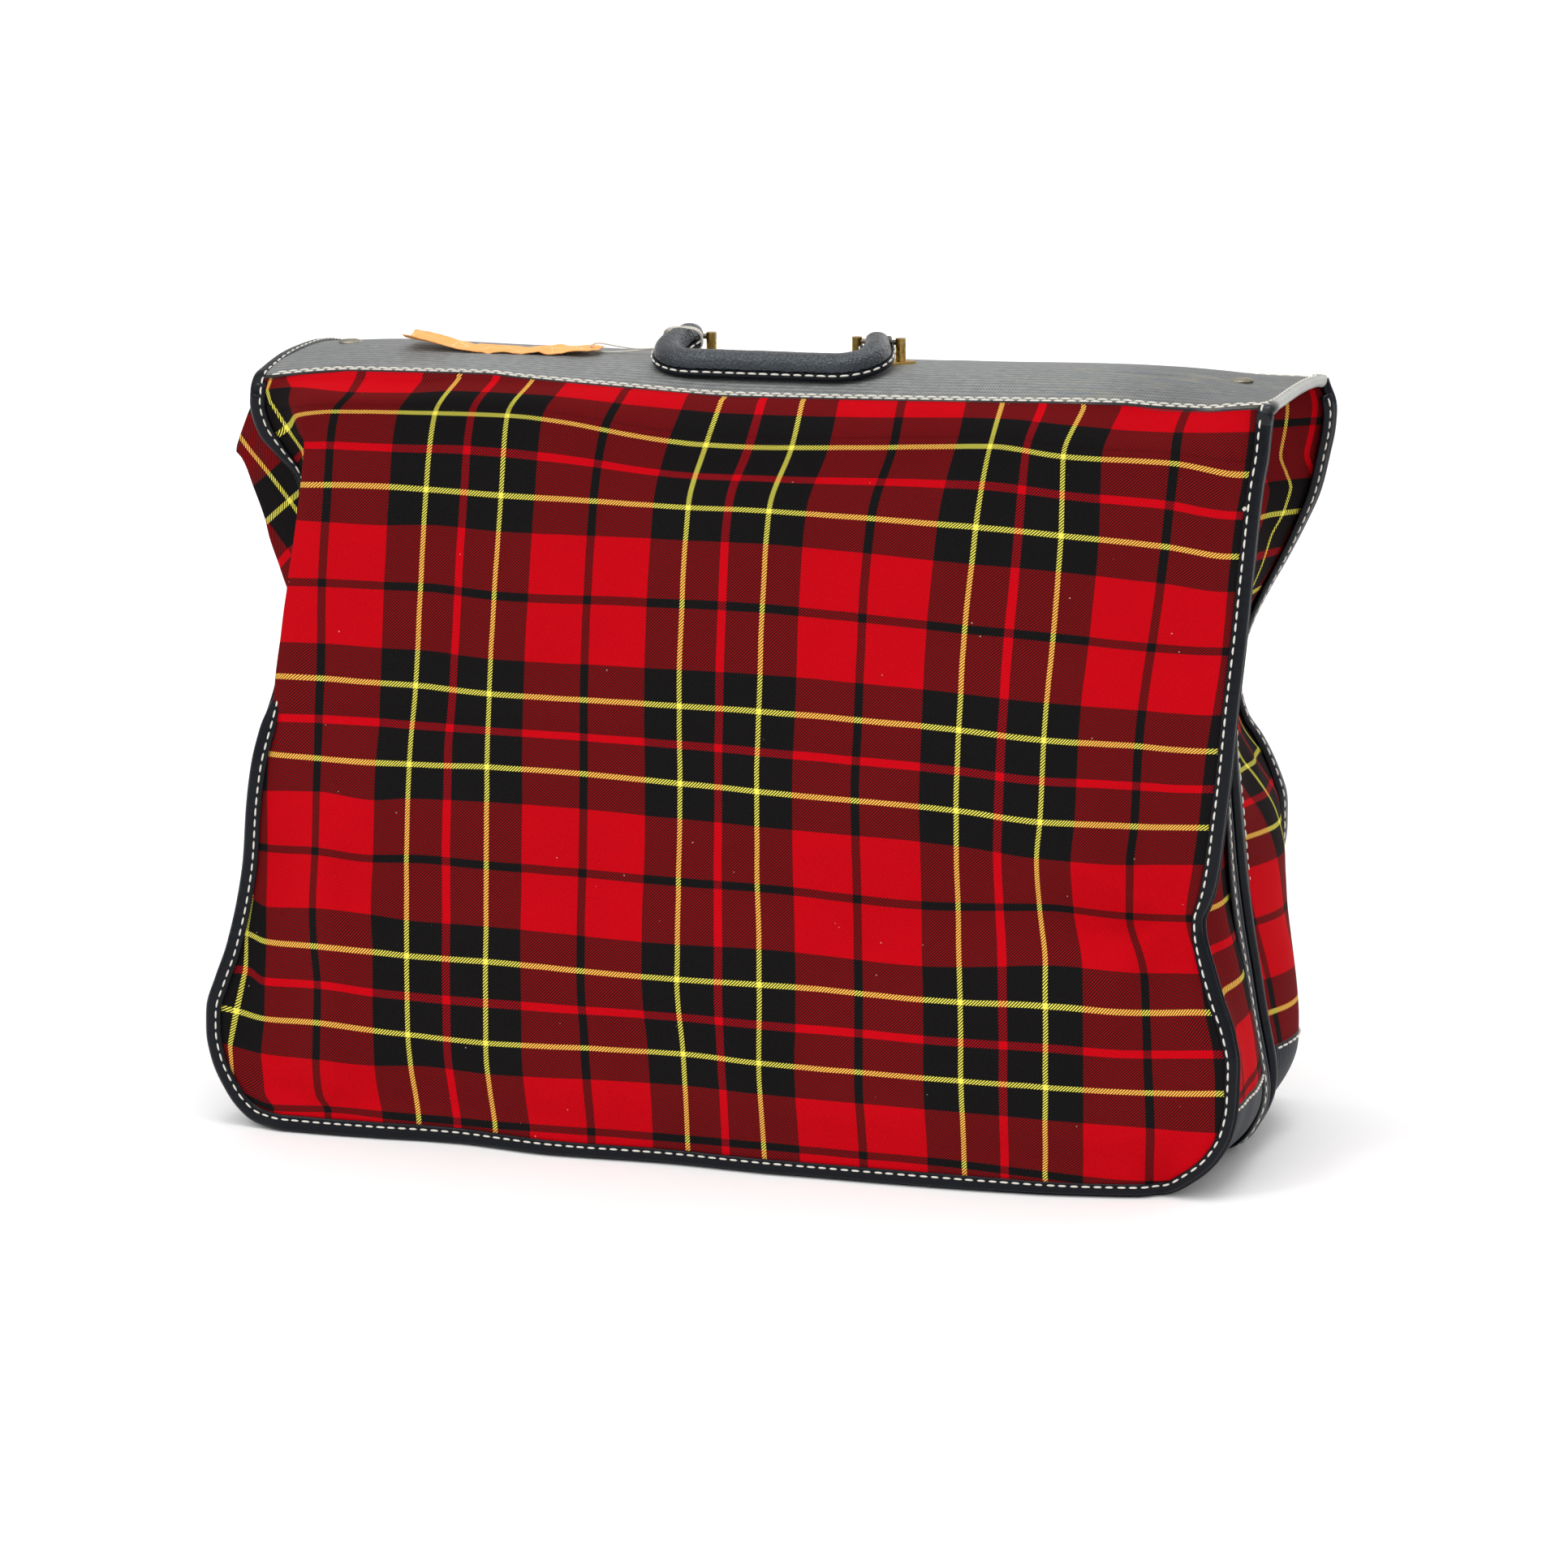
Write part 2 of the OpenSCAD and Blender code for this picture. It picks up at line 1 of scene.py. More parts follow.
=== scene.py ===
import sys
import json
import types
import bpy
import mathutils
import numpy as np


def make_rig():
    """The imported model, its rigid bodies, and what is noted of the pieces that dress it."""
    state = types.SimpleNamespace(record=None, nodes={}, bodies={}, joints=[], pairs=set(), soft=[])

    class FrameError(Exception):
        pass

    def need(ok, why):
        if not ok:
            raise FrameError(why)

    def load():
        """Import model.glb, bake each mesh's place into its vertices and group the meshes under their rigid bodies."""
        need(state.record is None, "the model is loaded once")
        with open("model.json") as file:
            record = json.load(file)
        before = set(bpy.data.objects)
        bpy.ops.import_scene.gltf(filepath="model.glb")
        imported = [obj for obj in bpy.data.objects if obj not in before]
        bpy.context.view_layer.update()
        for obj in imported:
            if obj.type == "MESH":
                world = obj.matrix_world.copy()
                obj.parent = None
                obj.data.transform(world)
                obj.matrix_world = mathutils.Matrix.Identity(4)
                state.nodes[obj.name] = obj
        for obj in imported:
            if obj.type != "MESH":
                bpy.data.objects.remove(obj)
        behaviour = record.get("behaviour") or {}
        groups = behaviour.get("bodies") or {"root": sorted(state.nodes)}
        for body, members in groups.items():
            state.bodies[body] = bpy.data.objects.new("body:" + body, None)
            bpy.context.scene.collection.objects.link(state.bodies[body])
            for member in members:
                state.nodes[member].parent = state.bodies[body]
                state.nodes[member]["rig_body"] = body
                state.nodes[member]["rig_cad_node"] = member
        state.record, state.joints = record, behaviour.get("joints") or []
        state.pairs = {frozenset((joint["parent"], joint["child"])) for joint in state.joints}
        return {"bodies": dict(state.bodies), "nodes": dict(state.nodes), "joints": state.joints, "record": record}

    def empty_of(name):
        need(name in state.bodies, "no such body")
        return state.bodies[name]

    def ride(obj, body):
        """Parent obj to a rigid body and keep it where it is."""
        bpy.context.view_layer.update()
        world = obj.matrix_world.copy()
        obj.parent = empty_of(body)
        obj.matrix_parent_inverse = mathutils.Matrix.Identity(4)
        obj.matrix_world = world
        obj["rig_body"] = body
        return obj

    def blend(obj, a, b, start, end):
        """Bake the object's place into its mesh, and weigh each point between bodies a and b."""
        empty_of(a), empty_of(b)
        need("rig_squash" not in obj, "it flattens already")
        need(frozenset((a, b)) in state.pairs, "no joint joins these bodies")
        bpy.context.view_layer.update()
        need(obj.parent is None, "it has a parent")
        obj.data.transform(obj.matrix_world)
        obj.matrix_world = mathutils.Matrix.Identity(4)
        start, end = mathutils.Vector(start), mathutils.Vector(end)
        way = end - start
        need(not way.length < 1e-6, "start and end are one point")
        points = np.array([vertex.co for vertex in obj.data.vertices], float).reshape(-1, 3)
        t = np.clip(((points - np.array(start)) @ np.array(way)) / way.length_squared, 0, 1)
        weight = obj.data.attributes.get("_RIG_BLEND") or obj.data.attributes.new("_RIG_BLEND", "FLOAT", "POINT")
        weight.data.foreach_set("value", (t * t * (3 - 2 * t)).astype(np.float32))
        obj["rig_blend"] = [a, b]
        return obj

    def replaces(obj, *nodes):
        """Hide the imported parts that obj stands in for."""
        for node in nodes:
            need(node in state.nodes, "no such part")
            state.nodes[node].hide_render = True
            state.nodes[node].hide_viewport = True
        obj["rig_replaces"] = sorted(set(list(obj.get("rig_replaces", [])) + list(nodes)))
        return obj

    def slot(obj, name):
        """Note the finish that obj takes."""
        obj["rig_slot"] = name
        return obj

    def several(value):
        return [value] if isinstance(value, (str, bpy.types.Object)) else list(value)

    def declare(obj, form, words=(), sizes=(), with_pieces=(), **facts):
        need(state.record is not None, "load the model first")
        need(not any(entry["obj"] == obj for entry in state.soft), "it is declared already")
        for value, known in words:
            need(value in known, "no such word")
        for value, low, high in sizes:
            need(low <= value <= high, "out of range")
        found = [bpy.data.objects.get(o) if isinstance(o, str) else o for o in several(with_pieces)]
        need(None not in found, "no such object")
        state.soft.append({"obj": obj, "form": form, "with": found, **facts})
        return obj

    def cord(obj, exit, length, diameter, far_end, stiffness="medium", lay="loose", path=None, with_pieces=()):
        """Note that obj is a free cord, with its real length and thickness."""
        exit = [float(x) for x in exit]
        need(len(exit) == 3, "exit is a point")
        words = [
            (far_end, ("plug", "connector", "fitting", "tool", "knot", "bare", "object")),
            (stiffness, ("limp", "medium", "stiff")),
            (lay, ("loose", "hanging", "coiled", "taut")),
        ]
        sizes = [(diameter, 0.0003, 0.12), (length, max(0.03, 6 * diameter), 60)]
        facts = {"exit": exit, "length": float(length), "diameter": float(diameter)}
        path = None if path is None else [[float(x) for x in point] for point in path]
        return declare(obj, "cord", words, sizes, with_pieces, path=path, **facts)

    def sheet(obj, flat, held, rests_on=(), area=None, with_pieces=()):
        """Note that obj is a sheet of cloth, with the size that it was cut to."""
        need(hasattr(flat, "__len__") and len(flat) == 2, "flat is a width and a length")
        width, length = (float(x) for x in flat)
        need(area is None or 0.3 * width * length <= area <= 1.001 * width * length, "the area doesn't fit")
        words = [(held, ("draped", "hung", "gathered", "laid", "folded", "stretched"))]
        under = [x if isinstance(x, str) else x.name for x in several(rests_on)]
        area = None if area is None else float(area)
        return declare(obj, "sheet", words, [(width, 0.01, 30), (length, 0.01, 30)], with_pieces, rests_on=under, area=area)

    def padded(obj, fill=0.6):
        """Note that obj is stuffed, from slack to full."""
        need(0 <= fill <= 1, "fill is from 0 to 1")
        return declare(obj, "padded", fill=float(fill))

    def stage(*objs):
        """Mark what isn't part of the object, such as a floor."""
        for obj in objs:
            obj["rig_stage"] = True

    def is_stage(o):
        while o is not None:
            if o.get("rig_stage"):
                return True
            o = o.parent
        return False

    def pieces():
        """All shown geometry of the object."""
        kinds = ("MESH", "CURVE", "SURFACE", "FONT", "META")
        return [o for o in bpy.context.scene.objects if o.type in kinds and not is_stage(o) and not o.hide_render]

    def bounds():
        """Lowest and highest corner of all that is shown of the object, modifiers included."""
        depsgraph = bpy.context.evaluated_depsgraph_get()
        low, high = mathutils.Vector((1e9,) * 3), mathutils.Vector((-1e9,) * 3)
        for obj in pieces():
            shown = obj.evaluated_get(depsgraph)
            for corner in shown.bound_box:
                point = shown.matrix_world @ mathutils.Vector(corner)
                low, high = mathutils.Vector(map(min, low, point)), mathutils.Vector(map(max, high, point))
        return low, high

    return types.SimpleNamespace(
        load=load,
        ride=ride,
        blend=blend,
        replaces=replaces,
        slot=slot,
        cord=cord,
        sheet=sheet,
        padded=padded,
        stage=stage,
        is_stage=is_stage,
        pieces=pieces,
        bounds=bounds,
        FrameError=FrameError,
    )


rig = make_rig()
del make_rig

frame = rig.load()
cad_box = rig.bounds()

import json
import math

import bpy
import numpy as np
from mathutils import Matrix, Vector

scene = bpy.context.scene
RNG = np.random.default_rng(7)
A = np.array

# ------------------------------------------------------------------ camera
# All building is done in millimetres and scaled to metres when a mesh is made.
FOCAL = 5754.58  # in pixels of a 1932 x 1932 image
AZ, EL, ROLL = (math.radians(x) for x in (16.163, 13.473, -0.455))
BACK = A([math.sin(AZ) * math.cos(EL), -math.cos(AZ) * math.cos(EL), math.sin(EL)])
EYE = A([-2.132, 0.0, 203.63]) + 2773.4 * BACK
_r = np.cross(-BACK, [0, 0, 1.0])
_r /= np.linalg.norm(_r)
_u = np.cross(_r, -BACK)
RIGHT = _r * math.cos(ROLL) + _u * math.sin(ROLL)
UP = _u * math.cos(ROLL) - _r * math.sin(ROLL)

cam_data = bpy.data.cameras.new("Camera")
cam_data.sensor_fit = "HORIZONTAL"
cam_data.sensor_width = 36.0
cam_data.lens = FOCAL / 1932 * 36.0
cam_data.clip_start, cam_data.clip_end = 0.05, 100
cam = bpy.data.objects.new("Camera", cam_data)
scene.collection.objects.link(cam)
m = Matrix.Identity(4)
for i in range(3):
    m[i][0], m[i][1], m[i][2], m[i][3] = RIGHT[i], UP[i], BACK[i], EYE[i] / 1000
cam.matrix_world = m
scene.camera = cam
scene.view_settings.view_transform = "Standard"
scene.view_settings.look = "None"


def ray(u, v):
    u, v = np.asarray(u, float), np.asarray(v, float)
    return -BACK * FOCAL + RIGHT * (u - 966)[..., None] - UP * (v - 966)[..., None]


def at_y(u, v, y):
    """Where the line of sight through (u, v) meets the depth y."""
    d = ray(u, v)
    return EYE + ((np.asarray(y, float) - EYE[1]) / d[..., 1])[..., None] * d


def at_z(u, v, z):
    d = ray(u, v)
    return EYE + ((np.asarray(z, float) - EYE[2]) / d[..., 2])[..., None] * d


# ------------------------------------------------------------------ numbers
def pchip(xk, yk, x):
    """Monotone cubic through (xk, yk); yk may have several columns."""
    xk, yk = np.asarray(xk, float), np.asarray(yk, float)
    flat = yk.ndim == 1
    if flat:
        yk = yk[:, None]
    h = np.diff(xk)[:, None]
    s = np.diff(yk, axis=0) / h
    m = np.zeros_like(yk)
    if len(xk) > 2:
        w1, w2 = 2 * h[1:] + h[:-1], h[1:] + 2 * h[:-1]
        same = s[:-1] * s[1:] > 0
        with np.errstate(divide="ignore", invalid="ignore"):
            mid = (w1 + w2) / (w1 / s[:-1] + w2 / s[1:])
        m[1:-1] = np.where(same, mid, 0)
    m[0], m[-1] = s[0], s[-1]
    x = np.asarray(x, float)
    i = np.clip(np.searchsorted(xk, x) - 1, 0, len(xk) - 2)
    hh = (xk[i + 1] - xk[i])[:, None]
    t = ((x - xk[i])[:, None]) / hh
    tc = np.clip(t, 0, 1)
    y = (
        (2 * tc**3 - 3 * tc**2 + 1) * yk[i]
        + (tc**3 - 2 * tc**2 + tc) * hh * m[i]
        + (-2 * tc**3 + 3 * tc**2) * yk[i + 1]
        + (tc**3 - tc**2) * hh * m[i + 1]
    )
    y = y + (t - tc) * hh * np.where(t < 0, m[i], m[i + 1])
    return y[:, 0] if flat else y


def smooth(a, b, x):
    t = np.clip((np.asarray(x, float) - a) / (b - a), 0, 1)
    return t * t * (3 - 2 * t)


def hump(x, c, w):
    return np.exp(-(((np.asarray(x, float) - c) / w) ** 2))


_lattice = np.random.default_rng(3).uniform(-1, 1, (64, 64))


def wave_noise(x, y):
    """Smooth noise in -1..1 with features about 1 apart."""
    x, y = np.asarray(x, float), np.asarray(y, float)
    i, j = np.floor(x).astype(int), np.floor(y).astype(int)
    fx, fy = x - i, y - j
    fx, fy = fx * fx * (3 - 2 * fx), fy * fy * (3 - 2 * fy)
    g = lambda a, b: _lattice[a % 64, b % 64]
    return (g(i, j) * (1 - fx) + g(i + 1, j) * fx) * (1 - fy) + (g(i, j + 1) * (1 - fx) + g(i + 1, j + 1) * fx) * fy


def arclen(p):
    return np.concatenate([[0], np.cumsum(np.linalg.norm(np.diff(p, axis=0), axis=1))])


def resample(p, n):
    p = np.asarray(p, float)
    s = arclen(p)
    return pchip(s, p, np.linspace(0, s[-1], n))


def smooth_path(p, n, rounds=2):
    """n points along p, evenly spaced, with its corners eased."""
    q = resample(p, n)
    for _ in range(rounds):
        q[1:-1] = 0.25 * q[:-2] + 0.5 * q[1:-1] + 0.25 * q[2:]
    return resample(q, n)


def unit(v):
    return v / np.maximum(np.linalg.norm(v, axis=-1, keepdims=True), 1e-9)


def tangents(p):
    t = np.zeros_like(p)
    t[1:-1] = p[2:] - p[:-2]
    t[0], t[-1] = p[1] - p[0], p[-1] - p[-2]
    return unit(t)


# ------------------------------------------------------------------ meshes
class Builder:
    """Collects vertices, faces, UVs in millimetres and material numbers."""

    def __init__(self):
        self.v, self.f, self.uv, self.mi = [], [], [], []
        self.n, self.flat = 0, 0

    def add(self, verts, faces, uv=None, mi=0):
        verts = np.asarray(verts, float).reshape(-1, 3)
        uv = np.zeros((len(verts), 2)) if uv is None else np.asarray(uv, float).reshape(-1, 2)
        self.v.append(verts)
        self.uv.append(uv)
        faces = [tuple(int(i) + self.n for i in f) for f in faces]
        self.f += faces
        self.mi += [mi] * len(faces) if np.isscalar(mi) else list(mi)
        self.n += len(verts)
        return self

    def grid(self, P, uv=None, mask=None, close_u=False, close_v=False, mi=0, flip=False):
        P = np.asarray(P, float)
        nv, nu = P.shape[:2]
        faces = []
        for j in range(nv if close_v else nv - 1):
            for i in range(nu if close_u else nu - 1):
                if mask is not None and not mask[j][i]:
                    continue
                a, b = j * nu + i, j * nu + (i + 1) % nu
                c, d = ((j + 1) % nv) * nu + (i + 1) % nu, ((j + 1) % nv) * nu + i
                faces.append((a, d, c, b) if flip else (a, b, c, d))
        return self.add(P, faces, uv, mi)

    def make(self, name, mats, body=None, slot=None, replaces=(), smooth_shade=True):
        v = np.concatenate(self.v)
        uv = np.concatenate(self.uv)
        used = np.zeros(len(v), bool)
        for f in self.f:
            used[list(f)] = True
        remap = np.cumsum(used) - 1
        faces = [tuple(int(remap[i]) for i in f) for f in self.f]
        v, uv = v[used], uv[used]
        v[:, 2] = np.maximum(v[:, 2], 0.0)
        me = bpy.data.meshes.new(name)
        me.from_pydata((v * 0.001).tolist(), [], faces)
        layer = me.uv_layers.new(name="Cloth")
        idx = np.zeros(len(me.loops), int)
        me.loops.foreach_get("vertex_index", idx)
        layer.data.foreach_set("uv", uv[idx].astype(np.float32).ravel())
        for mat in mats if isinstance(mats, (list, tuple)) else [mats]:
            me.materials.append(mat)
        me.polygons.foreach_set("material_index", A(self.mi, np.int32))
        me.polygons.foreach_set("use_smooth", [smooth_shade] * (len(faces) - self.flat) + [False] * self.flat)
        me.validate()
        me.update()
        obj = bpy.data.objects.new(name, me)
        scene.collection.objects.link(obj)
        if body:
            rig.ride(obj, body)
        if slot:
            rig.slot(obj, slot)
        if replaces:
            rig.replaces(obj, *replaces)
        return obj


def grid_normals(P):
    du, dv = np.zeros_like(P), np.zeros_like(P)
    du[:, 1:-1] = P[:, 2:] - P[:, :-2]
    du[:, 0], du[:, -1] = P[:, 1] - P[:, 0], P[:, -1] - P[:, -2]
    dv[1:-1] = P[2:] - P[:-2]
    dv[0], dv[-1] = P[1] - P[0], P[-1] - P[-2]
    return unit(np.cross(dv, du))


def cloth_sheet(name, P, uv, t, mats, mask=None, inside=1, flip=1, held=None, rests=(), **kw):
    """A grid with a front face, an inner face t behind it and a closed rim."""
    N = grid_normals(P) * flip
    nv, nu = P.shape[:2]
    if mask is None:
        mask = np.ones((nv - 1, nu - 1), bool)
    b = Builder()
    faces, mi = [], []
    off = nv * nu
    edges = {}
    for j in range(nv - 1):
        for i in range(nu - 1):
            if not mask[j, i]:
                continue
            a, c = j * nu + i, (j + 1) * nu + i
            q = (a, c, c + 1, a + 1) if flip > 0 else (a, a + 1, c + 1, c)
            faces.append(q)
            mi.append(0)
            faces.append(tuple(k + off for k in reversed(q)))
            mi.append(inside)
            for k in range(4):
                e = (q[k], q[(k + 1) % 4])
                if (e[1], e[0]) in edges:
                    del edges[(e[1], e[0])]
                else:
                    edges[e] = True
    for a, c in edges:
        faces.append((c, a, a + off, c + off))
        mi.append(0)
    V = np.concatenate([P.reshape(-1, 3), (P - N * t).reshape(-1, 3)])
    b.add(V, faces, np.concatenate([uv.reshape(-1, 2)] * 2), mi)
    b.flat = len(edges)
    ob = b.make(name, mats, **kw)
    if held:  # the cloth as it was cut: its mean width and its mean length along the surface
        along = [float(np.mean(np.linalg.norm(np.diff(P, axis=k), axis=2).sum(axis=k))) for k in (1, 0)]
        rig.sheet(ob, flat=(round(along[0] / 1000, 3), round(along[1] / 1000, 3)), held=held, rests_on=list(rests))
    return ob


def sweep(path, a_dir, b_dir, profile, closed=False, caps=True, v0=0.0):
    """Grid of a closed profile [(a, b)] carried along a path with side directions a and b."""
    profile = np.asarray(profile, float)
    P = path[:, None] + profile[None, :, :1] * a_dir[:, None] + profile[None, :, 1:] * b_dir[:, None]
    s = arclen(path) + v0
    w = np.concatenate([[0], np.cumsum(np.linalg.norm(np.diff(profile, axis=0), axis=1))])
    uv = np.stack(np.broadcast_arrays(w[None, :], s[:, None]), -1)
    return P, uv


def add_sweep(b, path, a_dir, b_dir, profile, mi=0, flip=False, caps=True):
    P, uv = sweep(path, a_dir, b_dir, profile)
    n0, k = b.n, len(profile)
    b.grid(P, uv, close_u=True, mi=mi, flip=flip)
    if caps:
        first = [n0 + i for i in range(k)]
        last = [n0 + (len(path) - 1) * k + i for i in range(k)]
        b.f += [tuple(reversed(first)) if not flip else tuple(first), tuple(last) if not flip else tuple(reversed(last))]
        b.mi += [mi, mi]
    return P


def circle(r, n, c=(0, 0), a0=0.0, a1=2 * math.pi, end=False):
    a = np.linspace(a0, a1, n, endpoint=end)
    return np.stack([c[0] + r * np.cos(a), c[1] + r * np.sin(a)], 1)


def add_stitches(b, path, up, pitch=6.7, length=5.0, width=1.15, high=0.55, start=0.0, tilt=0.0, bow=0.0, lift=0.0):
    """Raised thread stitches lying along a path; up is the surface normal at each point."""
    s = arclen(path)
    n = int((s[-1] - start) // pitch)
    mids = start + pitch * (np.arange(n) + 0.5)
    mids = mids + RNG.normal(0, 0.12, n)
    ts = np.linspace(-1, 1, 7)
    ang = np.linspace(0, 2 * math.pi, 8, endpoint=False)
    for mid in mids:
        L = length * (1 + RNG.normal(0, 0.04))
        at = np.clip(mid + ts * L / 2, 0, s[-1])
        c = A([np.interp(at, s, path[:, k]) for k in range(3)]).T
        n_ = unit(A([np.interp(at, s, up[:, k]) for k in range(3)]).T)
        t = unit(np.gradient(c, axis=0) + 1e-9)
        side = unit(np.cross(n_, t))
        c = c + side * (tilt * ts * width)[:, None] + side * (bow * (1 - ts**2))[:, None]
        c = c + n_ * (lift + 0.12 + 0.28 * (1 - ts**2))[:, None]
        w = width / 2 * np.sqrt(np.clip(1 - (np.abs(ts) ** 3.2), 0.02, 1))
        h = high * np.sqrt(np.clip(1 - (np.abs(ts) ** 3.2), 0.02, 1))
        P = c[:, None] + side[:, None] * (w[:, None] * np.cos(ang))[..., None] + n_[:, None] * (h[:, None] * np.sin(ang))[..., None]
        uv = np.stack(np.broadcast_arrays((ang * width / 2)[None], (at - mid)[:, None] + RNG.uniform(0, 50)), -1)
        add_grid_capped(b, P, uv)


def add_grid_capped(b, P, uv, mi=0):
    n0, k = b.n, P.shape[1]
    b.grid(P, uv, close_u=True, mi=mi)
    b.f += [tuple(n0 + i for i in reversed(range(k))), tuple(n0 + (P.shape[0] - 1) * k + i for i in range(k))]
    b.mi += [mi, mi]


# ------------------------------------------------------------------ materials
class Mat:
    """A small writer of shader nodes; a socket or a number may stand for any value."""

    def __init__(self, name):
        self.mat = bpy.data.materials.new(name)
        self.mat.use_nodes = True
        self.t = self.mat.node_tree
        self.t.nodes.clear()
        self.out = self.node("ShaderNodeOutputMaterial")
        self.b = self.node("ShaderNodeBsdfPrincipled")
        self.t.links.new(self.b.outputs[0], self.out.inputs[0])

    def node(self, kind, **props):
        n = self.t.nodes.new(kind)
        for k, v in props.items():
            setattr(n, k, v)
        return n

    def put(self, socket, value):
        if isinstance(value, bpy.types.NodeSocket):
            self.t.links.new(value, socket)
        elif isinstance(value, (tuple, list)) and len(value) == 3 and socket.type == "RGBA":
            socket.default_value = (*value, 1)
        else:
            socket.default_value = value

    def m(self, op, a, b=0.0, c=0.0, clamp=False):
        n = self.node("ShaderNodeMath", operation=op, use_clamp=clamp)
        for s, x in zip(n.inputs, (a, b, c)):
            self.put(s, x)
        return n.outputs[0]

    def mix(self, f, a, b):
        n = self.node("ShaderNodeMix", data_type="RGBA")
        self.put(n.inputs[0], f)
        self.put(n.inputs[6], a)
        self.put(n.inputs[7], b)
        return n.outputs[2]

    def scale_color(self, col, f):
        n = self.node("ShaderNodeVectorMath", operation="SCALE")
        self.put(n.inputs[0], col)
        self.put(n.inputs[3], f)
        return n.outputs[0]

    def uv(self):
        n = self.node("ShaderNodeUVMap", uv_map="Cloth")
        s = self.node("ShaderNodeSeparateXYZ")
        self.put(s.inputs[0], n.outputs[0])
        return s.outputs[0], s.outputs[1], n.outputs[0]

    def obj(self):
        n = self.node("ShaderNodeTexCoord")
        return n.outputs["Object"]

    def noise(self, vec, scale, detail=3.0, rough=0.5, dist=0.0):
        n = self.node("ShaderNodeTexNoise")
        self.put(n.inputs["Vector"], vec)
        n.inputs["Scale"].default_value = scale
        n.inputs["Detail"].default_value = detail
        n.inputs["Roughness"].default_value = rough
        n.inputs["Distortion"].default_value = dist
        return n.outputs[0]

    def voronoi(self, vec, scale, feature="F1", smoothness=None, rnd=1.0, out="Distance"):
        n = self.node("ShaderNodeTexVoronoi", feature=feature)
        self.put(n.inputs["Vector"], vec)
        n.inputs["Scale"].default_value = scale
        n.inputs["Randomness"].default_value = rnd
        return n.outputs[out]

    def ramp(self, f, lo, hi, a=0.0, b=1.0):
        n = self.node("ShaderNodeMapRange", interpolation_type="SMOOTHSTEP")
        for s, x in zip(n.inputs, (f, lo, hi, a, b)):
            self.put(s, x)
        return n.outputs[0]

    def bump(self, height, dist, strength=1.0, normal=None):
        n = self.node("ShaderNodeBump")
        n.inputs["Strength"].default_value = strength
        n.inputs["Distance"].default_value = dist
        self.put(n.inputs["Height"], height)
        if normal is not None:
            self.put(n.inputs["Normal"], normal)
        return n.outputs[0]

    def vec(self, x, y, z=0.0):
        n = self.node("ShaderNodeCombineXYZ")
        for s, v in zip(n.inputs, (x, y, z)):
            self.put(s, v)
        return n.outputs[0]

    def set(self, **kw):
        for k, v in kw.items():
            self.put(self.b.inputs[k.replace("_", " ")], v)
        return self.mat


def srgb(r, g, b):
    f = lambda c: (c / 255 / 12.92) if c <= 10 else ((c / 255 + 0.055) / 1.055) ** 2.4
    return (f(r), f(g), f(b))


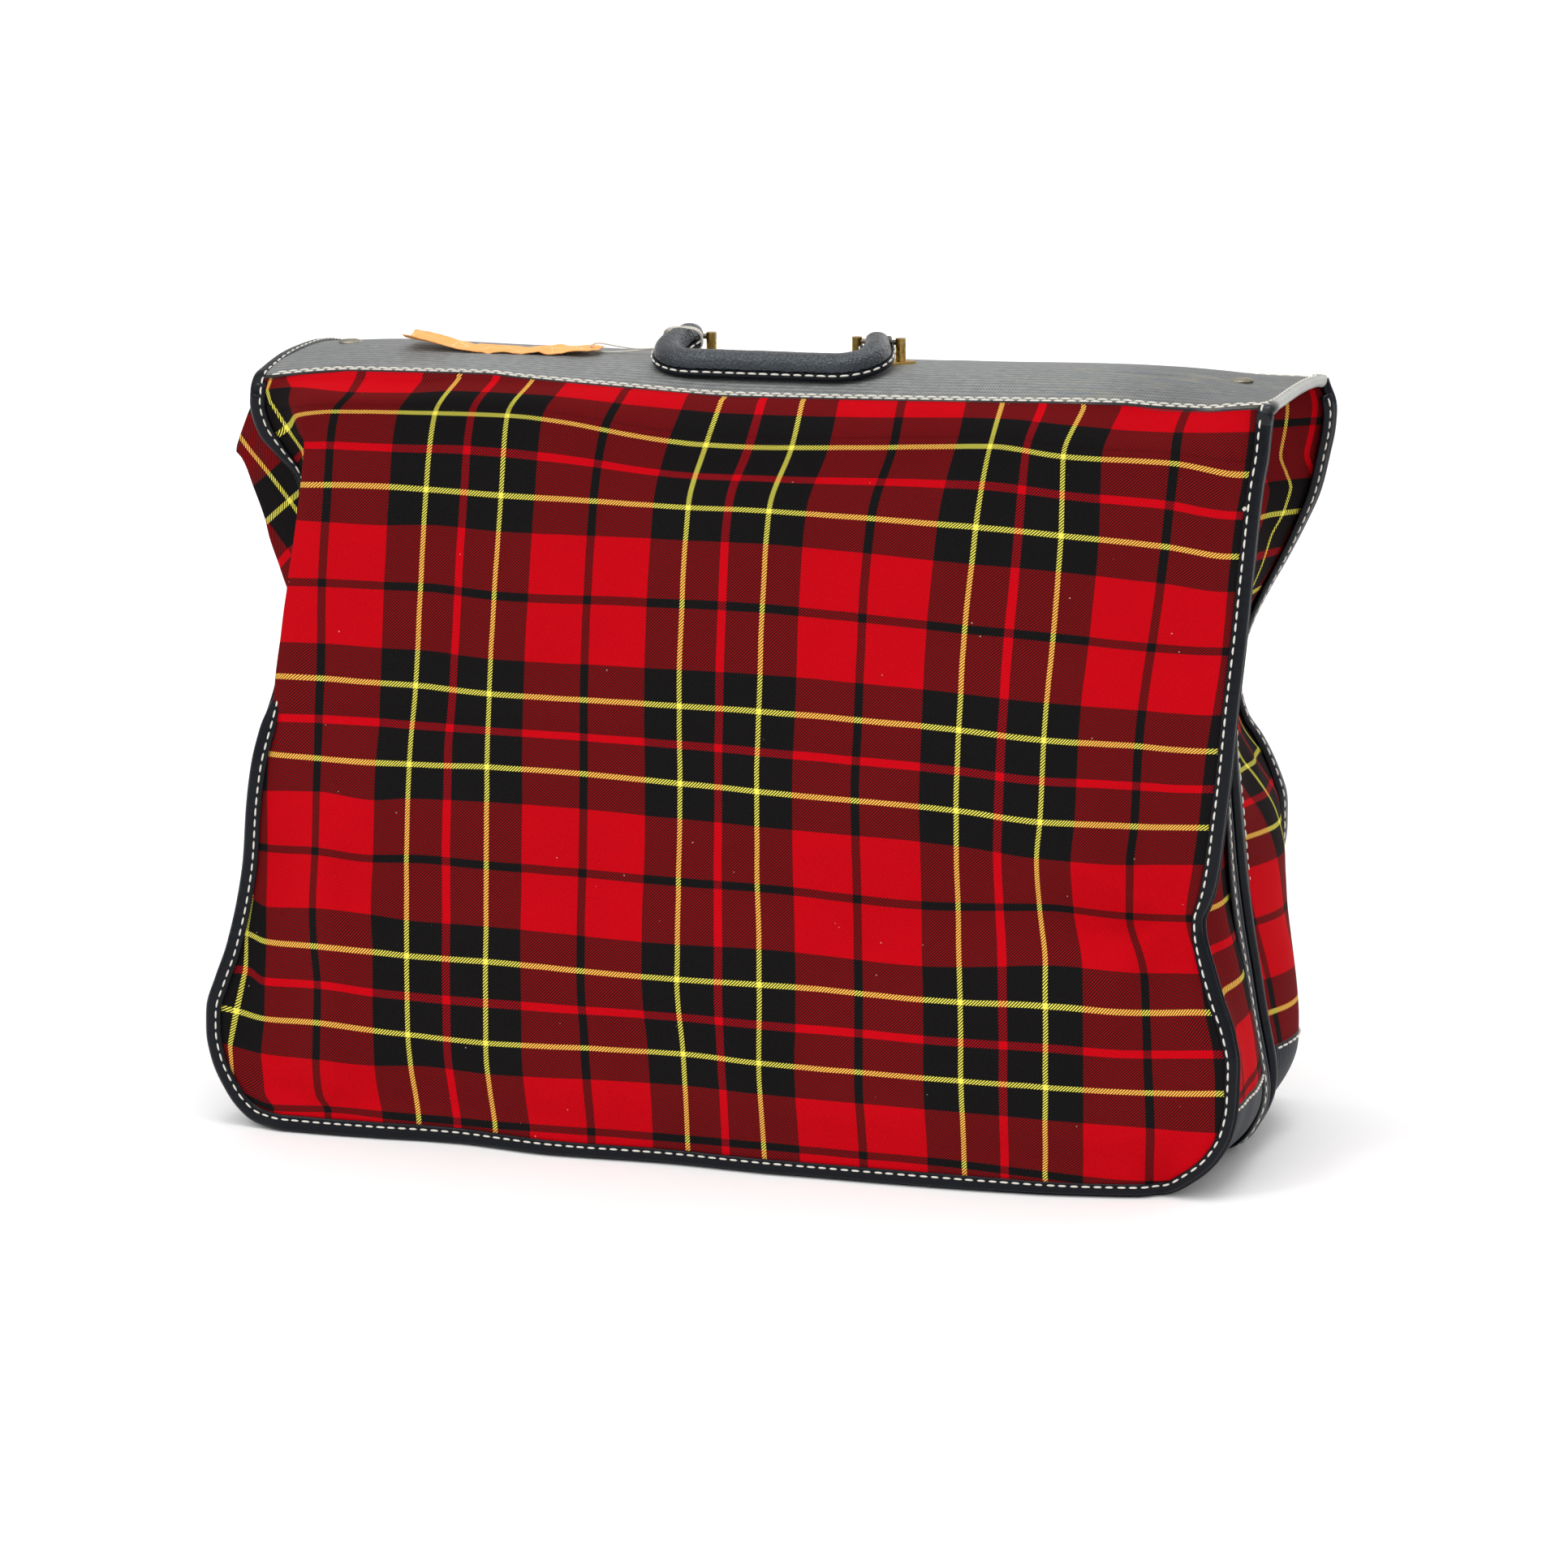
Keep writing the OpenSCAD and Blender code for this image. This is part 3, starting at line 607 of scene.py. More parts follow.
def tartan_material():
    n = Mat("Tartan twill")
    u0, v0, uv = n.uv()
    drift = n.noise(n.vec(n.m("MULTIPLY", u0, 0.02), n.m("MULTIPLY", v0, 0.02)), 1.0, 2.0)
    drift2 = n.noise(n.vec(n.m("MULTIPLY", v0, 0.02), n.m("MULTIPLY", u0, 0.02), 3.0), 1.0, 2.0)
    u = n.m("MULTIPLY_ADD", n.m("SUBTRACT", drift, 0.5), 1.4, u0)
    v = n.m("MULTIPLY_ADD", n.m("SUBTRACT", drift2, 0.5), 1.4, v0)
    # 2/2 twill: diagonal ribs where the lengthwise yarn lies on top
    phase = n.m("MULTIPLY", n.m("ADD", u, v), 2 * math.pi / 1.76)
    wave = n.m("SINE", phase)
    top = n.m("MULTIPLY_ADD", wave, 1.9, 0.5, clamp=True)

    def stripe(c, centre, width, soft=0.22):
        d = n.m("ABSOLUTE", n.m("WRAP", n.m("SUBTRACT", c, centre), 81.0, -81.0))
        return n.m("MULTIPLY_ADD", n.m("SUBTRACT", width / 2, d), 0.5 / soft, 0.5, clamp=True)

    red, red2 = (0.545, 0.0012, 0.0065), (0.61, 0.0015, 0.008)
    black, yellow = (0.0075, 0.0075, 0.008), (0.95, 0.88, 0.12)

    def dark(c):
        d = n.m("SUBTRACT", stripe(c, 44, 88), stripe(c, 44, 4.6), clamp=True)
        return n.m("MAXIMUM", d, stripe(c, 125, 5.0))

    # where a red yarn crosses black ones it is drawn darker, partly for the black fibres over it and partly as painted
    # shade between the black threads; a yellow one is drawn warmer where it crosses red ones
    def yarn(c, other, wide):
        col = n.mix(stripe(c, 44, 88), n.mix(other, red, (0.285, 0.0028, 0.0048)), black)
        col = n.mix(stripe(c, 44, 4.6), col, n.mix(other, red2, (0.40, 0.002, 0.008)))
        col = n.mix(n.m("MAXIMUM", stripe(c, 21, wide), stripe(c, 67, wide)), col, n.mix(other, (1.0, 0.70, 0.12), yellow))
        return n.mix(stripe(c, 125, 5.0), col, black)

    col = n.mix(top, yarn(v, dark(u), 3.2), yarn(u, dark(v), 2.75))
    rib = n.m("POWER", n.m("ABSOLUTE", wave), 0.6)
    cross = n.m("SINE", n.m("MULTIPLY", n.m("SUBTRACT", u, v), 2 * math.pi / 0.88))
    fine = n.noise(n.vec(n.m("MULTIPLY", u0, 1.6), n.m("MULTIPLY", v0, 1.6)), 1.0, 3.0, 0.6)
    broad = n.noise(n.vec(n.m("MULTIPLY", u0, 0.015), n.m("MULTIPLY", v0, 0.015), 8.0), 1.0, 4.0, 0.6)
    # painted shade: the cloth is drawn darker in the grooves between the twill ribs; fine and broad noise vary its tone
    # at random
    shade = n.m("MULTIPLY_ADD", rib, 0.24, 0.80)
    shade = n.m("MULTIPLY", shade, n.m("MULTIPLY_ADD", fine, 0.34, 0.83))
    shade = n.m("MULTIPLY", shade, n.m("MULTIPLY_ADD", broad, 0.22, 0.89))
    col = n.scale_color(col, shade)
    # fuzz that lightens the cloth a little, and a few pale specks of lint
    fuzz = n.ramp(n.noise(n.vec(n.m("MULTIPLY", u0, 0.5), n.m("MULTIPLY", v0, 0.5), 2.0), 1.0, 5.0, 0.7), 0.5, 0.8)
    col = n.mix(n.m("MULTIPLY", fuzz, 0.02), col, (0.4, 0.05, 0.05))
    speck = n.voronoi(n.vec(n.m("MULTIPLY", u0, 0.06), n.m("MULTIPLY", v0, 0.06)), 1.0)
    col = n.mix(n.m("MULTIPLY", n.ramp(speck, 0.03, 0.018), 0.55), col, (0.75, 0.6, 0.5))
    height = n.m("ADD", n.m("MULTIPLY_ADD", rib, 0.7, n.m("MULTIPLY", cross, 0.12)), n.m("MULTIPLY", fine, 0.5))
    normal = n.bump(height, 0.00022, 0.9)
    rough = n.m("MULTIPLY_ADD", fine, 0.2, 0.72)
    return n.set(Base_Color=col, Roughness=rough, Normal=normal, Sheen_Weight=0.02, Sheen_Roughness=0.5,
                 Sheen_Tint=(1.0, 0.3, 0.25), Specular_IOR_Level=0.04)


def vinyl_material(name, base, rough, emboss, height, dirt=0.0, coat=0.0, patina=False, spec=0.3, slant=0.62):
    n = Mat(name)
    u, v, uv = n.uv()
    k = 2 * math.pi / emboss
    a = n.m("SINE", n.m("MULTIPLY", n.m("ADD", u, n.m("MULTIPLY", v, slant)), k))
    b = n.m("SINE", n.m("MULTIPLY", n.m("SUBTRACT", u, n.m("MULTIPLY", v, slant)), k))
    cell = n.m("MULTIPLY_ADD", n.m("MULTIPLY", a, b), 0.5, 0.5)
    cell = n.m("POWER", cell, 0.6)
    fine = n.noise(n.vec(n.m("MULTIPLY", u, 0.9), n.m("MULTIPLY", v, 0.9)), 1.0, 4.0, 0.6)
    broad = n.noise(n.vec(n.m("MULTIPLY", u, 0.018), n.m("MULTIPLY", v, 0.03), 4.0), 1.0, 5.0, 0.65)
    # painted shade and painted highlight: the emboss is drawn darker in its hollows and lighter on its raised cells
    col = n.mix(cell, tuple(0.38 * x for x in base), tuple(1.5 * x for x in base))
    col = n.scale_color(col, n.m("MULTIPLY_ADD", broad, 0.7, 0.65))
    r = n.m("MULTIPLY_ADD", broad, 0.22, rough)
    if patina:
        mottle = n.noise(n.vec(n.m("MULTIPLY", u, 0.16), n.m("MULTIPLY", v, 0.3), 21.0), 1.0, 5.0, 0.7)
        col = n.scale_color(col, n.m("MULTIPLY_ADD", n.m("SUBTRACT", mottle, 0.5), 1.5, 1.0))
        nick = n.m("MULTIPLY", n.ramp(n.noise(n.vec(n.m("MULTIPLY", u, 0.3), n.m("MULTIPLY", v, 0.7), 5.0), 1.0, 4.0, 0.7), 0.66, 0.72), n.ramp(u, -250.0, 190.0, 0.12, 0.85))
        col = n.mix(nick, col, (0.02, 0.022, 0.026))
        # painted shade: the cover is drawn darker towards both ends, most at the right
        col = n.scale_color(col, n.m("MULTIPLY", n.ramp(u, 175.0, 245.0, 1.04, 0.65), n.ramp(u, -260.0, -170.0, 0.88, 1.03)))
        # painted shadow: the cover is drawn nearly black where its edge turns under
        under = n.ramp(n.m("ABSOLUTE", v), 68.5, 69.8)
        col = n.mix(n.m("MULTIPLY", under, 0.93), col, (0.006, 0.0065, 0.008))
        # the worn bluish and olive patches carry the same painted shade of the emboss
        worn = n.m("MULTIPLY", n.ramp(broad, 0.42, 0.68), n.ramp(u, 60.0, 230.0, 0.12, 1.0))
        streak = n.noise(n.vec(n.m("MULTIPLY", u, 0.03), n.m("MULTIPLY", v, 0.14), 9.0), 1.0, 6.0, 0.7)
        col = n.mix(n.m("MULTIPLY", worn, 0.66), col, n.scale_color(n.mix(n.ramp(streak, 0.36, 0.62), (0.065, 0.10, 0.165), (0.27, 0.255, 0.175)), n.m("MULTIPLY_ADD", cell, 0.7, 0.45)))
        r = n.m("MULTIPLY_ADD", worn, -0.06, r)
    if dirt:
        col = n.mix(n.m("MULTIPLY", n.ramp(fine, 0.55, 0.8), dirt), col, (0.22, 0.2, 0.18))
    normal = n.bump(n.m("MULTIPLY_ADD", fine, 0.35, cell), height, 0.8)
    return n.set(Base_Color=col, Roughness=r, Normal=normal, Coat_Weight=coat, Coat_Roughness=0.25, Specular_IOR_Level=spec)


def binding_material():
    n = Mat("Binding vinyl")
    u, v, uv = n.uv()
    obj = n.obj()
    grain = n.noise(obj, 900.0, 3.0, 0.6)
    broad = n.noise(obj, 24.0, 4.0, 0.6)
    kinks = n.noise(n.vec(n.m("MULTIPLY", u, 0.05), n.m("MULTIPLY", v, 0.12)), 1.0, 3.0, 0.5)
    scuff = n.ramp(n.noise(obj, 260.0, 6.0, 0.75), 0.62, 0.8)
    col = n.mix(broad, (0.0022, 0.003, 0.0052), (0.005, 0.0065, 0.0105))
    col = n.mix(n.m("MULTIPLY", scuff, 0.28), col, (0.05, 0.06, 0.08))
    r = n.m("ADD", n.m("MULTIPLY_ADD", broad, 0.16, 0.19), n.m("MULTIPLY", scuff, 0.25))
    normal = n.bump(grain, 0.00004, 0.6, n.bump(kinks, 0.0012, 0.55))
    return n.set(Base_Color=col, Roughness=r, Normal=normal, Specular_IOR_Level=0.11, Coat_Weight=0.09, Coat_Roughness=0.06)


def worn_binding_material():
    n = Mat("Worn binding vinyl")
    obj = n.obj()
    s = n.node("ShaderNodeSeparateXYZ")
    n.put(s.inputs[0], obj)
    grain = n.noise(obj, 700.0, 4.0, 0.65)
    broad = n.noise(obj, 70.0, 5.0, 0.65)
    nick = n.ramp(n.noise(obj, 190.0, 5.0, 0.75), 0.64, 0.72)
    # painted reflection: the pale grey stands for light reflected off the band's upper and rear part; dark nicks and
    # grain vary it
    pale = n.mix(broad, (0.22, 0.225, 0.215), (0.46, 0.46, 0.43))
    pale = n.mix(n.m("MULTIPLY", nick, 0.8), pale, (0.012, 0.013, 0.016))
    onto = n.m("MULTIPLY", n.ramp(s.outputs[1], -0.064, -0.054), n.m("MAXIMUM", n.ramp(s.outputs[2], 0.4462, 0.4492), n.ramp(s.outputs[1], 0.0, 0.02)))
    col = n.mix(onto, (0.004, 0.005, 0.008), pale)
    col = n.scale_color(col, n.m("MULTIPLY_ADD", grain, 0.4, 0.8))
    normal = n.bump(n.m("MULTIPLY_ADD", grain, 0.4, broad), 0.0003, 0.7)
    return n.set(Base_Color=col, Roughness=n.m("MULTIPLY_ADD", broad, 0.2, 0.24), Normal=normal, Specular_IOR_Level=0.35)


def leather_material():
    n = Mat("Handle cover")
    obj = n.obj()
    cells = n.voronoi(obj, 620.0, rnd=1.0)
    pores = n.noise(obj, 1500.0, 3.0, 0.6)
    broad = n.noise(obj, 45.0, 4.0, 0.6)
    wrinkle = n.noise(obj, 210.0, 5.0, 0.7, 0.6)
    # painted shade: the crevices between the pebbles are drawn much darker than their tops
    base = n.mix(n.ramp(cells, 0.1, 0.7), (0.011, 0.016, 0.026), (0.002, 0.003, 0.006))
    col = n.scale_color(base, n.m("MULTIPLY_ADD", broad, 0.9, 0.6))
    height = n.m("ADD", n.m("MULTIPLY", cells, -0.8), n.m("MULTIPLY_ADD", pores, 0.3, n.m("MULTIPLY", wrinkle, 0.7)))
    normal = n.bump(height, 0.0006, 0.9)
    r = n.m("MULTIPLY_ADD", cells, 0.2, 0.22)
    return n.set(Base_Color=col, Roughness=r, Normal=normal, Specular_IOR_Level=0.42, Specular_Tint=(0.80, 0.93, 1.0), Coat_Weight=0.55, Coat_Roughness=0.15, Coat_Normal=normal)


def metal_material(name, base, dark, rough, scale=180.0, brushed=0.0):
    n = Mat(name)
    obj = n.obj()
    spots = n.noise(obj, scale, 6.0, 0.7)
    fine = n.noise(obj, scale * 9, 3.0, 0.6)
    broad = n.noise(obj, scale * 0.3, 3.0, 0.6)
    worn = n.ramp(spots, 0.42, 0.66)
    col = n.mix(n.m("MULTIPLY", worn, 0.8), base, dark)
    col = n.scale_color(col, n.m("MULTIPLY_ADD", broad, 0.4, 0.8))
    r = n.m("ADD", n.m("MULTIPLY_ADD", worn, 0.24, rough), n.m("MULTIPLY", fine, 0.1))
    normal = n.bump(n.m("MULTIPLY_ADD", fine, 0.6, n.m("MULTIPLY", worn, -0.5)), 0.00006, 0.7)
    return n.set(Base_Color=col, Metallic=1.0, Roughness=r, Normal=normal)


def cloth_material(name, base, pitch=0.9, rough=0.85, sheen=0.15):
    n = Mat(name)
    u, v, uv = n.uv()
    k = 2 * math.pi / pitch
    a, b = n.m("SINE", n.m("MULTIPLY", u, k)), n.m("SINE", n.m("MULTIPLY", v, k))
    weave = n.m("MULTIPLY_ADD", n.m("MULTIPLY", a, b), 0.5, 0.5)
    fine = n.noise(n.vec(n.m("MULTIPLY", u, 1.3), n.m("MULTIPLY", v, 1.3)), 1.0, 3.0, 0.6)
    broad = n.noise(n.vec(n.m("MULTIPLY", u, 0.02), n.m("MULTIPLY", v, 0.02)), 1.0, 4.0, 0.6)
    # painted shade: the weave is drawn darker where its threads dip
    col = n.mix(weave, tuple(0.7 * x for x in base), base)
    col = n.scale_color(col, n.m("MULTIPLY", n.m("MULTIPLY_ADD", fine, 0.4, 0.8), n.m("MULTIPLY_ADD", broad, 0.4, 0.8)))
    normal = n.bump(n.m("MULTIPLY_ADD", fine, 0.5, weave), 0.00015, 0.8)
    return n.set(Base_Color=col, Roughness=n.m("MULTIPLY_ADD", fine, 0.15, rough - 0.05), Normal=normal, Sheen_Weight=sheen, Specular_IOR_Level=0.3)


def thread_material():
    n = Mat("Stitch thread")
    u, v, uv = n.uv()
    ply = n.m("SINE", n.m("MULTIPLY", n.m("ADD", n.m("MULTIPLY", v, 1.0), n.m("MULTIPLY", u, 0.9)), 2 * math.pi / 0.9))
    fine = n.noise(n.vec(n.m("MULTIPLY", u, 4.0), n.m("MULTIPLY", v, 2.0)), 1.0, 3.0)
    # painted shade: the grooves between the plies are drawn darker
    col = n.mix(n.m("MULTIPLY_ADD", ply, 0.3, 0.5), (0.62, 0.58, 0.48), (0.96, 0.94, 0.87))
    col = n.scale_color(col, n.m("MULTIPLY_ADD", fine, 0.35, 0.82))
    return n.set(Base_Color=col, Roughness=n.m("MULTIPLY_ADD", fine, 0.2, 0.6), Normal=n.bump(n.m("MULTIPLY_ADD", ply, 0.5, fine), 0.00015, 0.8), Sheen_Weight=0.2)


def card_material():
    n = Mat("Tag card")
    u, v, uv = n.uv()
    fibre = n.noise(n.vec(n.m("MULTIPLY", u, 0.8), n.m("MULTIPLY", v, 1.6)), 1.0, 6.0, 0.7)
    broad = n.noise(n.vec(n.m("MULTIPLY", u, 0.07), n.m("MULTIPLY", v, 0.05)), 1.0, 4.0, 0.6)
    crease = n.voronoi(n.vec(n.m("MULTIPLY", u, 0.055), n.m("MULTIPLY", v, 0.11)), 1.0, feature="DISTANCE_TO_EDGE")
    line = n.ramp(crease, 0.035, 0.0)
    col = n.mix(broad, (0.985, 0.345, 0.075), (0.995, 0.475, 0.145))
    col = n.scale_color(col, n.m("MULTIPLY_ADD", fibre, 0.24, 0.88))
    col = n.mix(n.m("MULTIPLY", line, 0.5), col, (0.99, 0.72, 0.42))
    edge = n.ramp(n.m("ABSOLUTE", v), 10.4, 12.0)
    col = n.mix(n.m("MULTIPLY", edge, 0.35), col, (0.7, 0.3, 0.1))
    normal = n.bump(n.m("MULTIPLY_ADD", fibre, 0.4, n.m("MULTIPLY", line, -0.7)), 0.0003, 0.7)
    return n.set(Base_Color=col, Roughness=n.m("MULTIPLY_ADD", fibre, 0.15, 0.6), Normal=normal, Subsurface_Weight=0.0)


def board_material():
    n = Mat("Fibreboard")
    obj = n.obj()
    fibre = n.noise(obj, 260.0, 6.0, 0.7, 0.8)
    broad = n.noise(obj, 18.0, 3.0)
    col = n.mix(fibre, (0.16, 0.1, 0.055), (0.36, 0.25, 0.15))
    col = n.scale_color(col, n.m("MULTIPLY_ADD", broad, 0.4, 0.8))
    return n.set(Base_Color=col, Roughness=n.m("MULTIPLY_ADD", fibre, 0.1, 0.8), Normal=n.bump(fibre, 0.0003, 0.7))


def zip_material():
    n = Mat("Zip tape")
    obj = n.obj()
    s = n.node("ShaderNodeSeparateXYZ")
    n.put(s.inputs[0], obj)
    fine = n.noise(obj, 1500.0, 3.0)
    rows = n.m("SINE", n.m("MULTIPLY", n.m("ADD", s.outputs[0], s.outputs[2]), 2 * math.pi / 0.0013))
    # painted shade: the tape is drawn darker between its rows
    col = n.mix(n.m("MULTIPLY_ADD", rows, 0.4, 0.5), (0.012, 0.012, 0.013), (0.035, 0.034, 0.034))
    col = n.scale_color(col, n.m("MULTIPLY_ADD", fine, 0.5, 0.75))
    return n.set(Base_Color=col, Roughness=n.m("MULTIPLY_ADD", fine, 0.15, 0.75), Normal=n.bump(n.m("MULTIPLY_ADD", rows, 0.5, fine), 0.0002, 0.8))


TARTAN = tartan_material()
SPINE_V = vinyl_material("Spine vinyl", (0.168, 0.173, 0.171), 0.40, 3.3, 0.00026, dirt=0.05, patina=True, slant=0.36)
FOOT_V = vinyl_material("Foot vinyl", (0.012, 0.0145, 0.020), 0.42, 3.0, 0.00026, dirt=0.1, spec=0.16)
BINDING = binding_material()
WORN_BAND = worn_binding_material()
LEATHER = leather_material()
BRASS = metal_material("Brass", (0.72, 0.47, 0.13), (0.2, 0.12, 0.04), 0.2)
OLD_BRASS = metal_material("Aged brass", (0.36, 0.33, 0.26), (0.15, 0.13, 0.09), 0.36)
DARK_STEEL = metal_material("Dark steel", (0.2, 0.17, 0.14), (0.05, 0.045, 0.04), 0.3)
STEEL = metal_material("Steel", (0.55, 0.55, 0.56), (0.25, 0.24, 0.23), 0.28)
LINING = cloth_material("Lining", (0.05, 0.047, 0.05))
THREAD = thread_material()
CARD = card_material()
BOARD = board_material()
ZIP_TAPE = zip_material()
TEETH = metal_material("Zip teeth", (0.55, 0.4, 0.16), (0.16, 0.12, 0.06), 0.3, 400.0)


def twisted(b, path, r_ply, off, pitch, plies=2):
    """Twisted yarn about a path."""
    n = max(int(arclen(path)[-1] / 0.28), 60)
    p = resample(path, n)
    s = arclen(p)
    t = tangents(p)
    a = np.zeros_like(p)
    ref = A([0.0, 0, 1])
    prev = unit(np.cross(t[0], ref if abs(t[0, 2]) < 0.9 else A([1.0, 0, 0])))
    for i in range(n):
        prev = unit(prev - (prev * t[i]).sum() * t[i])
        a[i] = prev
    c = np.cross(t, a)
    for k in range(plies):
        ph = 2 * math.pi * s / pitch + 2 * math.pi * k / plies
        q = p + off * (a * np.cos(ph)[:, None] + c * np.sin(ph)[:, None])
        tq = tangents(q)
        aq = unit(a - (a * tq).sum(1)[:, None] * tq)
        cq = np.cross(tq, aq)
        add_sweep(b, q, aq, cq, circle(r_ply, 7))
    return b


# ------------------------------------------------------------------ the tag's string
TURN = math.radians(6)


def tag_world(p):
    p = np.asarray(p, float) + A([71.5, 0, 2.5])
    c, s_ = math.cos(TURN), math.sin(TURN)
    return np.stack([p[..., 0] * c - p[..., 1] * s_ - 70.0, p[..., 0] * s_ + p[..., 1] * c, p[..., 2]], -1)


# the string's route, in metres
STRING_PTS = A([(-0.0676, -0.0012, 0.4594), (-0.0688, -0.0030, 0.4596), (-0.0715, -0.0040, 0.4598), (-0.0750, -0.0036, 0.4598), (-0.0800, -0.0030, 0.4594),
                (-0.0900, -0.0026, 0.4590), (-0.1000, -0.0022, 0.4600), (-0.1080, -0.0014, 0.4612), (-0.1130, -0.0008, 0.4617), (-0.1166, -0.0003, 0.4610),
                (-0.1184, 0.0000, 0.4590), (-0.1172, 0.0003, 0.4572), (-0.1134, 0.0008, 0.4564), (-0.1070, 0.0014, 0.4562), (-0.0980, 0.0020, 0.4566),
                (-0.0880, 0.0026, 0.4576), (-0.0800, 0.0030, 0.4584), (-0.0750, 0.0036, 0.4594), (-0.0715, 0.0040, 0.4604), (-0.0688, 0.0030, 0.4612),
                (-0.0676, 0.0012, 0.4616)], float)


def catmull(p, per=6):
    q = np.concatenate([[2 * p[0] - p[1]], p, [2 * p[-1] - p[-2]]])
    out = []
    for i in range(1, len(q) - 2):
        for t in np.linspace(0, 1, per, endpoint=False):
            out.append(0.5 * (2 * q[i] + (q[i + 1] - q[i - 1]) * t + (2 * q[i - 1] - 5 * q[i] + 4 * q[i + 1] - q[i + 2]) * t**2
                              + (3 * q[i] - q[i - 1] - 3 * q[i + 1] + q[i + 2]) * t**3))
    return A(out + [p[-1]])


string_path = tag_world(catmull(STRING_PTS * 1000))
b = Builder()
twisted(b, string_path, 0.33, 0.27, 3.0)
tag_string = b.make("Tag_string", THREAD, body="tag", slot="string", replaces=("tag_string",))
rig.cord(tag_string, exit=tuple(string_path[0] / 1000), length=float(arclen(string_path)[-1]) / 1000, diameter=0.0012, far_end="object",
        stiffness="limp", lay="loose", path=[tuple(p / 1000) for p in string_path])


# ------------------------------------------------------------------ front half: outlines
# The panel's edge as the photograph shows it: image point and depth of the bead's middle.
FRONT_LEFT = A([
    (316, 484, -69), (315.5, 498, -68), (324, 528, -66), (345, 557, -64), (368, 584, -62), (378, 620, -62),
    (378, 660, -64), (374, 710, -68), (366, 760, -74), (354, 805, -80), (344, 848, -85), (326, 904, -90),
    (317.5, 937, -92), (310.5, 993, -94), (306.5, 1059, -96), (300, 1104, -98), (286, 1166, -101),
    (272, 1206, -103), (261.5, 1243, -104.5), (261.5, 1269, -105), (268, 1303, -105.5), (281.5, 1334, -105.5),
    (296.5, 1357.5, -106.5), (319, 1376.5, -108.5)], float)
FRONT_FOOT = A([(353, 1386), (401, 1390), (462, 1394.5), (530, 1398.5), (560, 1401), (682, 1416), (815, 1425.5), (960, 1441.5),
                (1113, 1454), (1266, 1463.5), (1350, 1466.8), (1407, 1467.5), (1431, 1465)], float)
FRONT_RIGHT = A([
    (1467, 1450, -101), (1493, 1428.5, -100), (1512, 1395, -99), (1518.5, 1361, -98), (1520.5, 1316, -96),
    (1514.5, 1277, -94), (1501, 1234, -90), (1491, 1200, -87), (1481.5, 1166, -85), (1478.5, 1151, -84),
    (1478, 1133, -83.5), (1484, 1117, -84), (1490.5, 1098, -84.5), (1495, 1076, -85), (1502, 1025, -85), (1511.5, 950, -84), (1518.5, 879, -82),
    (1528, 800, -79), (1536.5, 719, -76), (1540.5, 683, -75), (1545.5, 635, -73.5), (1550.5, 596, -72),
    (1556.5, 563, -70.5), (1560.5, 526, -69), (1563, 508, -68.5)], float)


def front_outline():
    left = at_y(*FRONT_LEFT.T)
    foot = at_z(FRONT_FOOT[:, 0], FRONT_FOOT[:, 1], np.full(len(FRONT_FOOT), 3.8))
    foot[:, 1] = np.maximum(foot[:, 1], -117.5)
    right = at_y(*FRONT_RIGHT.T)
    return np.concatenate([left, foot, right])


LOOP_F = smooth_path(front_outline(), 640, 1)


def project(p):
    d = p - EYE
    k = FOCAL / (d @ -BACK)
    return np.stack([966 + (d @ RIGHT) * k, 966 - (d @ UP) * k], -1)


LOOP_PX = project(LOOP_F)

